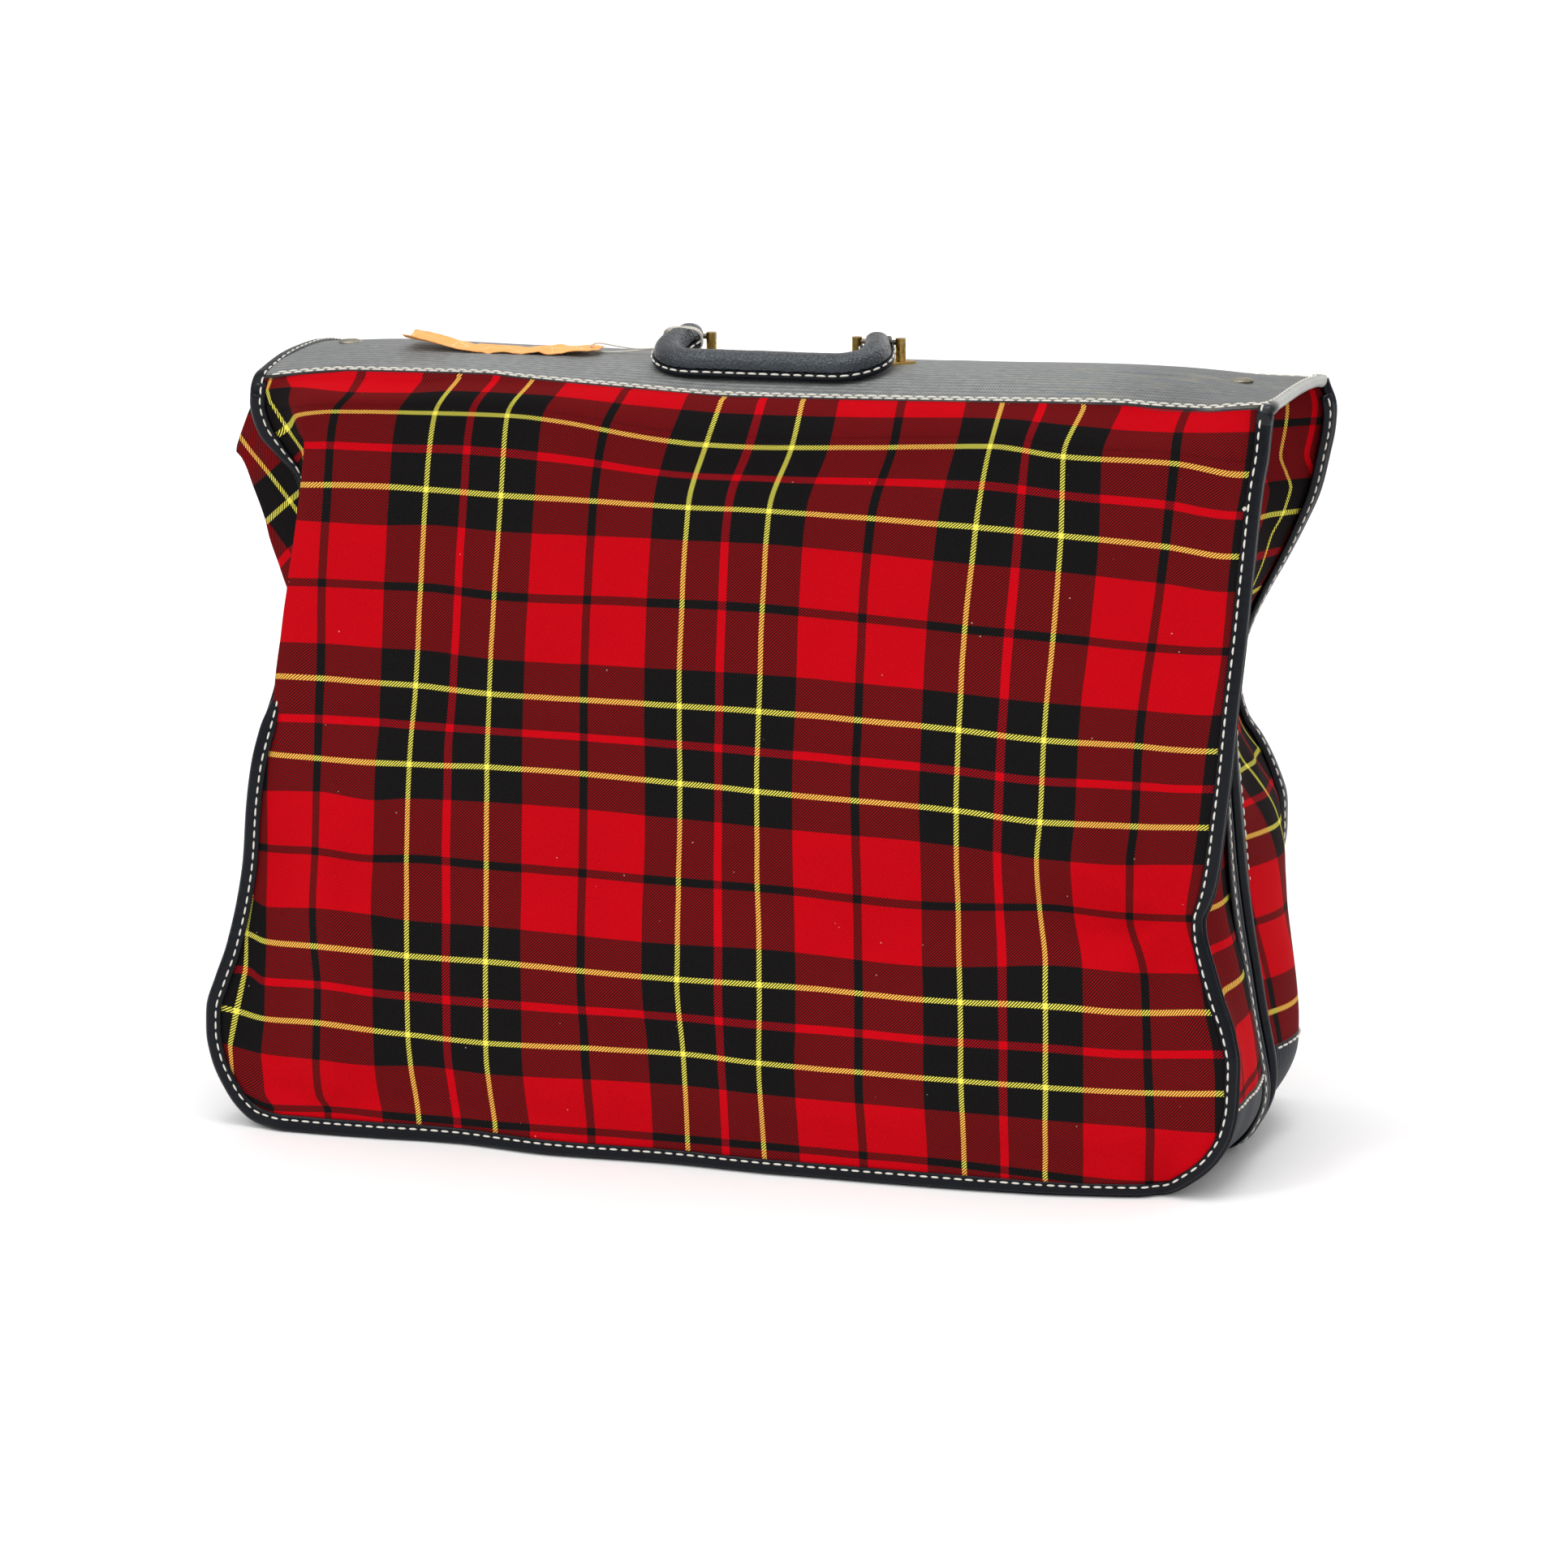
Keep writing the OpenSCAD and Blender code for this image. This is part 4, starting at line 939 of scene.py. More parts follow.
# Image points of the cloth's lengthwise lines: cloth U, then (W, u, v) down the panel.
COLS = {
    -37: [(-15, 446, 462), (0, 433, 483), (21, 414, 507), (44, 407, 549), (67, 404, 597), (88, 401, 643), (125, 397, 718),
          (183, 395, 836), (206, 393, 886), (229, 391, 934), (250, 390, 975), (287, 388, 1049), (324, 385, 1119),
          (345, 387, 1166), (368, 391, 1213), (391, 390, 1260), (412, 389, 1306), (435, 393, 1348), (449, 404, 1366)],
    0: [(-15, 522, 467), (0, 507, 484), (21, 490, 508), (44, 483, 552), (67, 480, 600), (88, 477, 647), (125, 473, 722),
        (183, 469, 842), (206, 467, 890), (229, 463, 940), (250, 461, 986), (287, 459, 1058), (324, 457, 1127),
        (345, 459, 1173), (368, 459, 1223), (391, 460, 1270), (412, 461, 1313), (449, 471, 1373)],
    21: [(-15, 567, 464), (21, 536, 509), (67, 525, 603), (183, 512, 845), (229, 504, 942), (287, 501, 1058),
         (345, 501, 1178), (391, 503, 1275), (449, 516, 1377)],
    67: [(-15, 657, 468), (21, 625, 512), (67, 617, 610), (183, 603, 855), (229, 600, 945), (287, 599, 1066),
         (345, 598, 1185), (391, 598, 1285), (449, 610, 1385.5)],
    183: [(-13, 893, 483), (21, 870, 548), (67, 848, 625), (183, 837, 870), (229, 838, 965), (345, 834, 1207),
          (391, 842, 1299), (449, 847, 1403.3)],
    229: [(-13, 990, 488), (21, 975, 552), (67, 947, 630), (183, 935, 877), (229, 932, 975), (345, 935, 1213),
          (391, 935, 1310), (449, 941, 1412)],
    345: [(-12, 1235, 497), (21, 1220, 550), (67, 1202, 650), (183, 1181, 900), (229, 1178, 999), (345, 1183, 1235),
          (391, 1184, 1332), (449, 1188, 1435.2)],
    391: [(-12, 1335, 503), (21, 1310, 563), (67, 1307, 660), (183, 1286, 912), (229, 1281, 1013), (250, 1277, 1058),
          (287, 1281, 1118), (324, 1288, 1190), (345, 1288, 1240), (391, 1288, 1340), (449, 1287.5, 1448)],
    449: [(-12, 1463, 504), (0, 1452, 533), (21, 1447, 571), (44, 1441, 623), (67, 1436, 674), (183, 1403, 920),
          (229, 1397, 1018), (250, 1392, 1066), (287, 1392, 1129), (324, 1409, 1199), (345, 1412, 1248),
          (368, 1414, 1300), (391, 1416, 1347), (412, 1417, 1390), (449, 1416, 1459.5)],
    486: [(-12, 1541, 503), (0, 1539, 532), (21, 1532, 585), (44, 1523, 635), (67, 1517, 686), (125, 1505, 803),
          (183, 1487, 926), (229, 1476, 1020), (250, 1470, 1066), (287, 1461, 1132), (324, 1479, 1200),
          (345, 1485, 1248), (368, 1495, 1300), (391, 1497, 1348), (412, 1497, 1396), (440, 1490, 1440)],
}
# The fold down the left side: (W, cloth U, u, v, depth).
FOLD = A([(-15, -73, 354, 466, -69), (-12, -72, 356, 468, -70), (0, -72, 362, 477, -76), (21, -62, 367, 512, -82),
          (44, -56, 375, 548, -84), (67, -55, 370, 597, -85), (88, -56, 365, 641, -85), (125, -60, 354, 717, -86),
          (183, -66, 339, 833, -88), (206, -67, 335, 884, -89), (229, -74, 330, 928, -93), (250, -74, 329, 975, -94.5),
          (287, -74, 330, 1045, -97), (324, -74, 328, 1117, -99.5), (345, -74, 328, 1160, -101), (368, -74, 326, 1209, -103),
          (391, -74, 326, 1255, -105), (412, -74, 322, 1298, -106), (435, -74, 326, 1345, -106.5)], float)
EDGE_V = A([(-15, 482), (-12, 484), (0, 498), (21, 542), (44, 573), (67, 612), (88, 650), (125, 724), (183, 840), (206, 880),
            (229, 925), (250, 968), (287, 1036), (324, 1104), (345, 1147), (368, 1193), (391, 1240), (412, 1284), (435, 1330)], float)
SIDE_U95 = A([(-12, 334, 466, -69), (0, 329, 480, -72), (10, 333, 494, -73), (21, 355, 528, -74), (44, 374, 556, -72),
              (67, 0, 0, 0), (88, 0, 0, 0), (125, 0, 0, 0), (183, 0, 0, 0), (206, 0, 0, 0), (229, 318, 925, -92),
              (250, 312, 970, -94), (287, 311, 1040, -96), (324, 311, 1108, -98), (345, 304, 1150, -100),
              (368, 303, 1195, -102), (391, 292, 1246, -104), (412, 283, 1288, -105), (435, 287, 1330, -105.5)], float)
_left_v = np.concatenate([[470], FRONT_LEFT[:, 1]])
_left_u = np.concatenate([[316.5], FRONT_LEFT[:, 0]])
_left_y = np.concatenate([[-69], FRONT_LEFT[:, 2]])
_edge = np.stack([EDGE_V[:, 0], np.interp(EDGE_V[:, 1], _left_v, _left_u), EDGE_V[:, 1], np.interp(EDGE_V[:, 1], _left_v, _left_y)], 1)
for i, row in enumerate(SIDE_U95):
    if row[1] == 0:
        f = [np.interp(row[0], FOLD[:, 0], FOLD[:, k]) for k in (2, 3, 4)]
        c = [np.interp(row[0], _edge[:, 0], _edge[:, k]) for k in (1, 2, 3)]
        SIDE_U95[i, 1:] = A(f) + 0.8 * (A(c) - A(f)) + A([5, 0, 2])


def front_panel_grid():
    W = np.concatenate([np.arange(-15, 61, 2.5), np.arange(62.5, 462.5, 3.0), [464.0]])
    U = np.concatenate([[-104, -101, -98], np.arange(-95, 488, 3.0), [490, 492.5, 495]])
    us = sorted(COLS)
    cols = {k: pchip(A(c)[:, 0], A(c)[:, 1:], W) for k, c in COLS.items()}
    for k, c in cols.items():  # keep the last spacing going past the ends
        c0 = A(COLS[k], float)
        past = W > c0[-1, 0]
        rate = A([0.1, 2.03])
        c[past] = c0[-1, 1:] + (W[past] - c0[-1, 0])[:, None] * rate
        before = W < c0[0, 0]
        c[before] = c0[0, 1:] + (W[before] - c0[0, 0])[:, None] * A([0.0, 0.9])
    shift = cols[-37] - cols[-37][np.argmin(abs(W - 435))]
    loop_right = LOOP_PX[LOOP_F[:, 0] > 200]
    lr_v, lr_u, lr_y = loop_right[::-1, 1], loop_right[::-1, 0], LOOP_F[LOOP_F[:, 0] > 200][::-1, 1]
    order = np.argsort(lr_v)
    lr_v, lr_u, lr_y = lr_v[order], lr_u[order], lr_y[order]
    P = np.zeros((len(W), len(U), 2))
    for j, w in enumerate(W):
        wl = min(w, 435.0)
        f = A([np.interp(wl, FOLD[:, 0], FOLD[:, k]) for k in range(1, 5)])
        e = A([np.interp(wl, _edge[:, 0], _edge[:, k]) for k in (1, 2, 3)])
        n95 = A([np.interp(wl, SIDE_U95[:, 0], SIDE_U95[:, k]) for k in (1, 2, 3)])
        dd = shift[j] if w > 435 else np.zeros(2)
        ks = [-104, -95, f[0]]
        ps = [e[:2] + dd, n95[:2] + dd, f[1:3] + dd]
        tuck = smooth(30, 60, w) * (1 - smooth(190, 226, w))
        if tuck > 0.02:
            mid = 0.5 * (f[0] - 95) - 2
            ks.insert(2, mid)
            flat_ = f[1:3] + 0.55 * (n95[:2] - f[1:3])
            ps.insert(2, flat_ * (1 - tuck) + (f[1:3] + A([27, 3])) * tuck)
        for k in us:
            ks.append(k)
            ps.append(cols[k][j])
        ks.append(495)
        ps.append(A([np.interp(cols[486][j, 1], lr_v, lr_u), cols[486][j, 1]]))
        P[j] = pchip(ks, A(ps), U)
    return W, U, P, (lr_v, lr_y)


LIP_PX = A([(300, 469), (339, 465), (429, 458), (518, 460), (600, 462), (640, 467), (760, 478), (900, 490), (1070, 494), (1240, 497), (1380, 499),
            (1434, 504), (1488, 506), (1521, 503), (1551, 501), (1570, 501)], float)


def under_lip(P, W):
    """Starts the cloth just under the vinyl's lower edge."""
    for j, w in enumerate(W):
        if w > 8:
            break
        low = np.interp(P[j, :, 0], *LIP_PX.T) - 0.8 + 0.6 * (w + 15)
        P[j, :, 1] = np.maximum(P[j, :, 1], low)
    P[0, :, 1] = np.interp(P[0, :, 0], *LIP_PX.T) - 0.8
    return P


def front_panel_depth(W, U, P, lr):
    lr_v, lr_y = lr
    fw = np.minimum(W, 435)
    yF = np.interp(fw, FOLD[:, 0], FOLD[:, 4])
    y95 = np.interp(fw, SIDE_U95[:, 0], SIDE_U95[:, 3])
    yC = np.interp(fw, _edge[:, 0], _edge[:, 3])
    yL = yF - np.where(W < 200, 3.0, 2.0)
    Y = np.zeros(P.shape[:2])
    foot = at_z(P[-2, :, 0], P[-2, :, 1] + 2, np.full(P.shape[1], 3.8))[:, 1]
    lf = LOOP_F[(LOOP_F[:, 2] < 12)]
    lpx = LOOP_PX[(LOOP_F[:, 2] < 12)]
    bottom = np.interp(P[-2, :, 0], lpx[:, 0], lf[:, 1]) - 1.0
    k = np.ones(9) / 9
    bottom = np.convolve(np.pad(bottom, 4, mode="edge"), k, "valid")
    i0 = int(np.argmin(abs(U + 37)))
    t = np.clip((W + 15) / (461 + 15), 0, 1)
    right = np.interp(P[:, -1, 1], lr_v, lr_y)
    # top edge, down the left fold, along the foot, up the right edge
    s = np.clip((U + 37) / (495 + 37), 0, 1)
    top = -69.9 + 0 * U
    L, R = yL, right
    c = lambda i, j: None
    for j in range(len(W)):
        ss, tt = s, t[j]
        tt_s = tt
        Y[j] = ((1 - ss) * L[j] + ss * R[j] + (1 - tt_s) * top + tt_s * bottom
                - ((1 - ss) * (1 - tt_s) * top[i0] + ss * (1 - tt_s) * top[-1] + (1 - ss) * tt_s * bottom[i0] + ss * tt_s * bottom[-1]))
        if W[j] < 435 + 30:
            xs, ys = [-104, -95, np.interp(fw[j], FOLD[:, 0], FOLD[:, 1]), -37], [yC[j], y95[j], yF[j], Y[j, i0]]
            tuck = smooth(30, 60, W[j]) * (1 - smooth(190, 226, W[j]))
            if tuck > 0.02:
                xs.insert(2, 0.5 * (xs[2] - 95) - 2)
                ys.insert(2, (0.5 * (y95[j] + yF[j])) * (1 - tuck) + (yF[j] + 9) * tuck)
            Y[j, : i0 + 1] = pchip(xs, ys, U[: i0 + 1])
    UU, WW = np.meshgrid(U, W)
    inner = smooth(-80, -30, UU) * (1 - smooth(455, 494, UU))
    # cloth rolls over the edge of the spine at the top, most at the left
    roll = hump(WW, 9, 16) * (10 - 5.0 * smooth(-40, 300, UU)) * smooth(-90, -50, UU) * (1 - smooth(470, 494, UU))
    roll = roll * smooth(-15, -4, WW)
    belly = 3.0 * hump(WW, 395, 80) + 4.0 * hump(WW, 250, 130) * hump(UU, 230, 200)
    wr = np.zeros_like(WW)
    # soft folds: down the left strip, fanning from the kink at the right, low in the middle
    wr += 3.2 * hump(UU, -30, 16) * smooth(235, 300, WW) * (1 - smooth(425, 455, WW))
    wr -= 2.2 * hump(UU, -56, 10) * smooth(235, 300, WW) * (1 - smooth(425, 455, WW))
    kx, kw = 480.0, 287.0
    r = np.hypot(UU - kx, WW - kw)
    ang = np.degrees(np.arctan2(WW - kw, kx - UU))
    fan = 4.2 * hump(ang, 38, 14) - 3.6 * hump(ang, 8, 12) + 3.4 * hump(ang, -26, 14) - 2.2 * hump(ang, -52, 13) - 2.4 * hump(ang, 64, 12)
    wr += fan * hump(r, 75, 62) * smooth(0, 26, r)
    wr += 2.6 * hump(UU - 396 + 0.3 * (WW - 290), 0, 24) * hump(WW, 285, 75)
    wr += 1.5 * hump(UU - 130 - 0.12 * (WW - 400), 0, 13) * hump(WW, 415, 48) - 1.3 * hump(UU - 152 - 0.1 * (WW - 400), 0, 11) * hump(WW, 410, 45)
    wr += 1.2 * hump(UU - 60, 0, 16) * hump(WW, 330, 70)
    wr += 1.6 * hump(UU, 440, 7) * hump(WW, 12, 26) - 1.4 * hump(UU, 458, 6) * hump(WW, 8, 22)
    wr += 1.5 * wave_noise(UU / 62 + 3, WW / 78 + 1) + 0.7 * wave_noise(UU / 24 + 9, WW / 31)
    wr += 2.0 * hump(WW - 0.06 * UU, 318, 24) * hump(UU, 400, 90)
    wr += 3.4 * hump(WW, 420, 22) * smooth(40, 140, UU)
    return Y - (roll + belly * inner + wr * inner * smooth(-12, 30, WW) * (1 - smooth(448, 460, WW)))


def snap_to_loop(P, Y, W, U):
    """Vertices outside the binding's middle line come back to it; depths ease to it."""
    from_loop = LOOP_PX
    a, b = from_loop[:-1], from_loop[1:]
    top_v = 480.0
    poly = np.concatenate([from_loop, [[1563, 300], [316, 300]]])
    x, y = P[..., 0].ravel(), P[..., 1].ravel()
    inside = np.zeros(len(x), bool)
    px, py = poly[:, 0], poly[:, 1]
    qx, qy = np.roll(px, -1), np.roll(py, -1)
    for x1, y1, x2, y2 in zip(px, py, qx, qy):
        if y1 == y2:
            continue
        hit = ((y1 > y) != (y2 > y)) & (x < (x2 - x1) * (y - y1) / (y2 - y1) + x1)
        inside ^= hit
    d = np.full(len(x), 1e9)
    near = np.zeros(len(x))
    nx, ny = x.copy(), y.copy()
    ly = LOOP_F[:, 1]
    ab = b - a
    L2 = (ab**2).sum(1)
    for i in range(len(a)):
        t = np.clip(((x - a[i, 0]) * ab[i, 0] + (y - a[i, 1]) * ab[i, 1]) / L2[i], 0, 1)
        cx, cy = a[i, 0] + t * ab[i, 0], a[i, 1] + t * ab[i, 1]
        dist = np.hypot(x - cx, y - cy)
        m = dist < d
        d[m], nx[m], ny[m] = dist[m], cx[m], cy[m]
        near[m] = (ly[i] + t * (ly[i + 1] - ly[i]))[m]
    sh = P.shape[:2]
    inside, d, nx, ny, near = (q.reshape(sh) for q in (inside, d, nx, ny, near))
    UU, WW = np.meshgrid(U, W)
    tucked = (UU < -20) & (WW < 236)
    out = ~inside & ~tucked & (WW > 5)
    P = P.copy()
    P[out, 0], P[out, 1] = nx[out], ny[out]
    d = np.where(out, 0, d)
    w = 1 - smooth(14, 46, d)
    left_fold = smooth(-99, -96, UU) * (1 - smooth(-20, 0, UU)) * (1 - smooth(228, 262, WW))
    w = w * (1 - left_fold) * smooth(0, 25, WW)
    Y = Y * (1 - w) + (near - 1.6) * w
    return P, Y, out


Wf, Uf, Pf, lr = front_panel_grid()
Pf = under_lip(Pf, Wf)
Yf = front_panel_depth(Wf, Uf, Pf, lr)
Pf, Yf, out_f = snap_to_loop(Pf, Yf, Wf, Uf)
PANEL_F = at_y(Pf[..., 0], Pf[..., 1], Yf)
UU, WW = np.meshgrid(Uf, Wf)
UV_F = np.stack([UU, WW], -1)
keep_f = ~(out_f[:-1, :-1] & out_f[1:, :-1] & out_f[:-1, 1:] & out_f[1:, 1:])
# two more rows carry the cloth under the spine's edge
under1 = PANEL_F[0] + A([0, 1.2, -1.6])
under2 = A([1, 0, 0]) * PANEL_F[0] + A([0, -64.5, 444.4])
rows = np.stack([under2, under1])
PANEL_F = np.concatenate([rows, PANEL_F])
UV_F = np.concatenate([np.stack([UV_F[0] - A([0, 7.0]), UV_F[0] - A([0, 2.0])]), UV_F])
keep_f = np.concatenate([np.ones((2, keep_f.shape[1]), bool), keep_f])
Wf = np.concatenate([[-22, -17], Wf])
PANEL_F[..., 0] = np.where(PANEL_F[..., 2] > 438.5, np.maximum(PANEL_F[..., 0], -296.5 - 2.0 * smooth(446, 439, PANEL_F[..., 2])), PANEL_F[..., 0])
split = int(np.argmin(abs(Wf - 15)))
z_hi, z_lo = PANEL_F[split, :, 2].max(), PANEL_F[split, :, 2].min()

top_f = cloth_sheet("Front_panel_top", PANEL_F[: split + 1], UV_F[: split + 1], 1.2, [TARTAN, LINING], keep_f[:split], slot="tartan", held="folded", rests=["spine_cover"])
main_f = cloth_sheet("Front_panel", PANEL_F[split:], UV_F[split:], 1.2, [TARTAN, LINING], keep_f[split:], slot="tartan", replaces=("front_panel",), held="hung", rests=["spine_cover"])
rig.blend(top_f, "spine", "front_divider", (0, -0.068, 0.450), (0, -0.068, (z_hi + 1) / 1000))
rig.blend(main_f, "front_divider", "front_shell", (0, -0.075, (z_lo - 1) / 1000), (0, -0.079, (z_lo - 45) / 1000))


# a knot of loose thread near the upper right corner
_flat = PANEL_F[split:].reshape(-1, 3)
_at = _flat[np.argmin(((project(_flat) - A([1531, 626])) ** 2).sum(1))]
_tt = np.linspace(0, 1, 60)
_knot = _at + np.stack([0.95 * np.cos(16 * _tt) * (1 - 0.4 * _tt) + 0.5 * _tt, -0.9 - 0.5 * np.sin(23 * _tt) ** 2, 0.85 * np.sin(16 * _tt + 0.5) - 0.9 * _tt**3], 1)
_b = Builder()
twisted(_b, _knot, 0.34, 0.25, 2.4)
_b.make("Loose_thread", THREAD, body="front_shell", slot="string")


# ------------------------------------------------------------------ bindings
def binding(name, path, normal, inward_hint, body, bead=3.7, flange=6.8, under=1.0, stitch=4.2, slot="binding_vinyl", replaces=(),
            kinks=0.25, stitches=True, start=0.0, thread_name=None, high0=3.9, high1=3.4, size=None, mat=None, stop=0.0):
    """Bead with a stitched flange along a path: normal points out of the cloth's face."""
    t = tangents(path)
    n = unit(normal - (normal * t).sum(1)[:, None] * t)
    side = np.cross(n, t)
    sgn = np.sign((side * inward_hint).sum(1))
    side = side * np.where(sgn == 0, 1, sgn)[:, None]
    s = arclen(path)
    wob = kinks * wave_noise(s / 21.0, s * 0 + 2.5)
    wob2 = kinks * wave_noise(s / 17.0, s * 0 + 7.5)
    path = path + side * wob[:, None] * 0.5 + n * wob2[:, None] * 0.5
    # side: towards the cloth; n: out of its face
    a = np.linspace(math.radians(78), math.radians(78 + 282), 15)
    round_ = np.stack([bead * np.cos(a), bead * np.sin(a)], 1)
    prof = [(flange, high1), (flange * 0.75, high1 + 0.25), (3.0, high0 - 0.15), (1.6, high0 - 0.06)]
    prof += [tuple(q) for q in round_[1:]]
    prof += [(3.4, 1.4), (flange - 0.2, high1 - 1.1)]
    b = Builder()
    flip = float((np.cross(side[0], n[0]) * t[0]).sum()) < 0
    k = np.ones((len(path), 1)) if size is None else np.asarray(size)[:, None]
    add_sweep(b, path, side * k, n * np.sqrt(k), prof, flip=not flip)
    obj = b.make(name, mat or BINDING, body=body, slot=slot, replaces=replaces)
    if stitches:
        sb = Builder()
        hs = high1 + 0.25 + (high0 - high1) * max(0.0, (flange * 0.75 - stitch)) / (flange * 0.75 - 3.0)
        line = path + side * stitch * k + n * (hs * np.sqrt(k) - 0.32)
        upto = arclen(line) <= arclen(line)[-1] - stop
        add_stitches(sb, line[upto], n[upto], start=start, bow=0.12)
        sb.make(thread_name or name + "_stitches", THREAD, body=body, slot="string")
    return obj


def loop_normals(path, base):
    return np.repeat(A([base], float), len(path), 0)


middle_f = A([0, -90, 230.0])
binding("Front_outer_binding", LOOP_F, loop_normals(LOOP_F, (0.0, -1, 0.09)), middle_f - LOOP_F, "front_shell",
        replaces=("front_outer_binding",), stitch=3.9,
        size=1 - 0.55 * (LOOP_F[:, 0] < -200) * smooth(530, 588, LOOP_PX[:, 1]) * (1 - smooth(850, 900, LOOP_PX[:, 1]))
        - 0.18 * smooth(-240, -60, LOOP_F[:, 0]) - 0.16 * smooth(120, 210, LOOP_F[:, 0]) * (1 - smooth(60, 130, LOOP_F[:, 2])) - 0.22 * (LOOP_F[:, 0] > 200) * hump(LOOP_PX[:, 1], 1139, 36))

# ------------------------------------------------------------------ rear half: outline and face
REAR_RIGHT = A([(304, 68.5, 446), (304.5, 68.5, 444), (309, 69.5, 431), (308, 72, 418), (305, 73.5, 403), (300, 76, 382), (291, 79, 361),
                (280, 81, 339), (270, 83, 321), (260, 84, 300), (254, 84.5, 280), (252.5, 84.5, 262), (257, 85, 242),
                (267, 86, 227), (276, 87, 208), (281, 88, 190), (281, 89, 174), (277, 91, 151), (275, 93, 128),
                (275, 95, 100), (277, 97.5, 72), (276, 100, 50), (272, 102, 30), (262, 104, 14), (250, 105, 6.5), (238, 106, 3.8)], float)
REAR_FOOT = A([(180, 110, 3.8), (100, 113, 3.8), (0, 115, 3.8), (-100, 113, 3.8), (-190, 110, 3.8), (-250, 107, 3.8)], float)
REAR_LEFT = A([(-268, 106, 7), (-284, 105.5, 18), (-293, 104.5, 36), (-296, 103, 60), (-294, 100, 90), (-289, 96, 130), (-285, 93, 180),
               (-283, 89, 220), (-280, 86, 260), (-278, 83, 300), (-284, 79, 350), (-297, 74, 400), (-303, 70, 430), (-303, 68.5, 446)], float)
LOOP_R = smooth_path(np.concatenate([REAR_RIGHT, REAR_FOOT, REAR_LEFT])[::-1], 520, 2)  # left top, foot, right top


def inside_xz(px, pz, loop):
    poly = np.concatenate([loop[:, [0, 2]], [[loop[-1, 0], 900], [loop[0, 0], 900]]])
    inside = np.zeros(px.shape, bool)
    for (x1, z1), (x2, z2) in zip(poly, np.roll(poly, -1, 0)):
        if z1 == z2:
            continue
        inside ^= ((z1 > pz) != (z2 > pz)) & (px < (x2 - x1) * (pz - z1) / (z2 - z1) + x1)
    return inside


def nearest_on(px, pz, loop):
    d = np.full(px.shape, 1e9)
    out = np.zeros(px.shape + (3,))
    for a, b in zip(loop[:-1], loop[1:]):
        ab = (b - a)[[0, 2]]
        t = np.clip(((px - a[0]) * ab[0] + (pz - a[2]) * ab[1]) / max((ab**2).sum(), 1e-9), 0, 1)
        c = a + t[..., None] * (b - a)
        dist = np.hypot(px - c[..., 0], pz - c[..., 2])
        m = dist < d
        d[m] = dist[m]
        out[m] = c[m]
    return d, out


def edge_x(loop, z, right):
    part = loop[loop[:, 0] > 0] if right else loop[loop[:, 0] < 0]
    part = part[part[:, 2] > 42]
    o = np.argsort(part[:, 2])
    return np.interp(z, part[o, 2], part[o, 0]), np.interp(z, part[o, 2], part[o, 1])


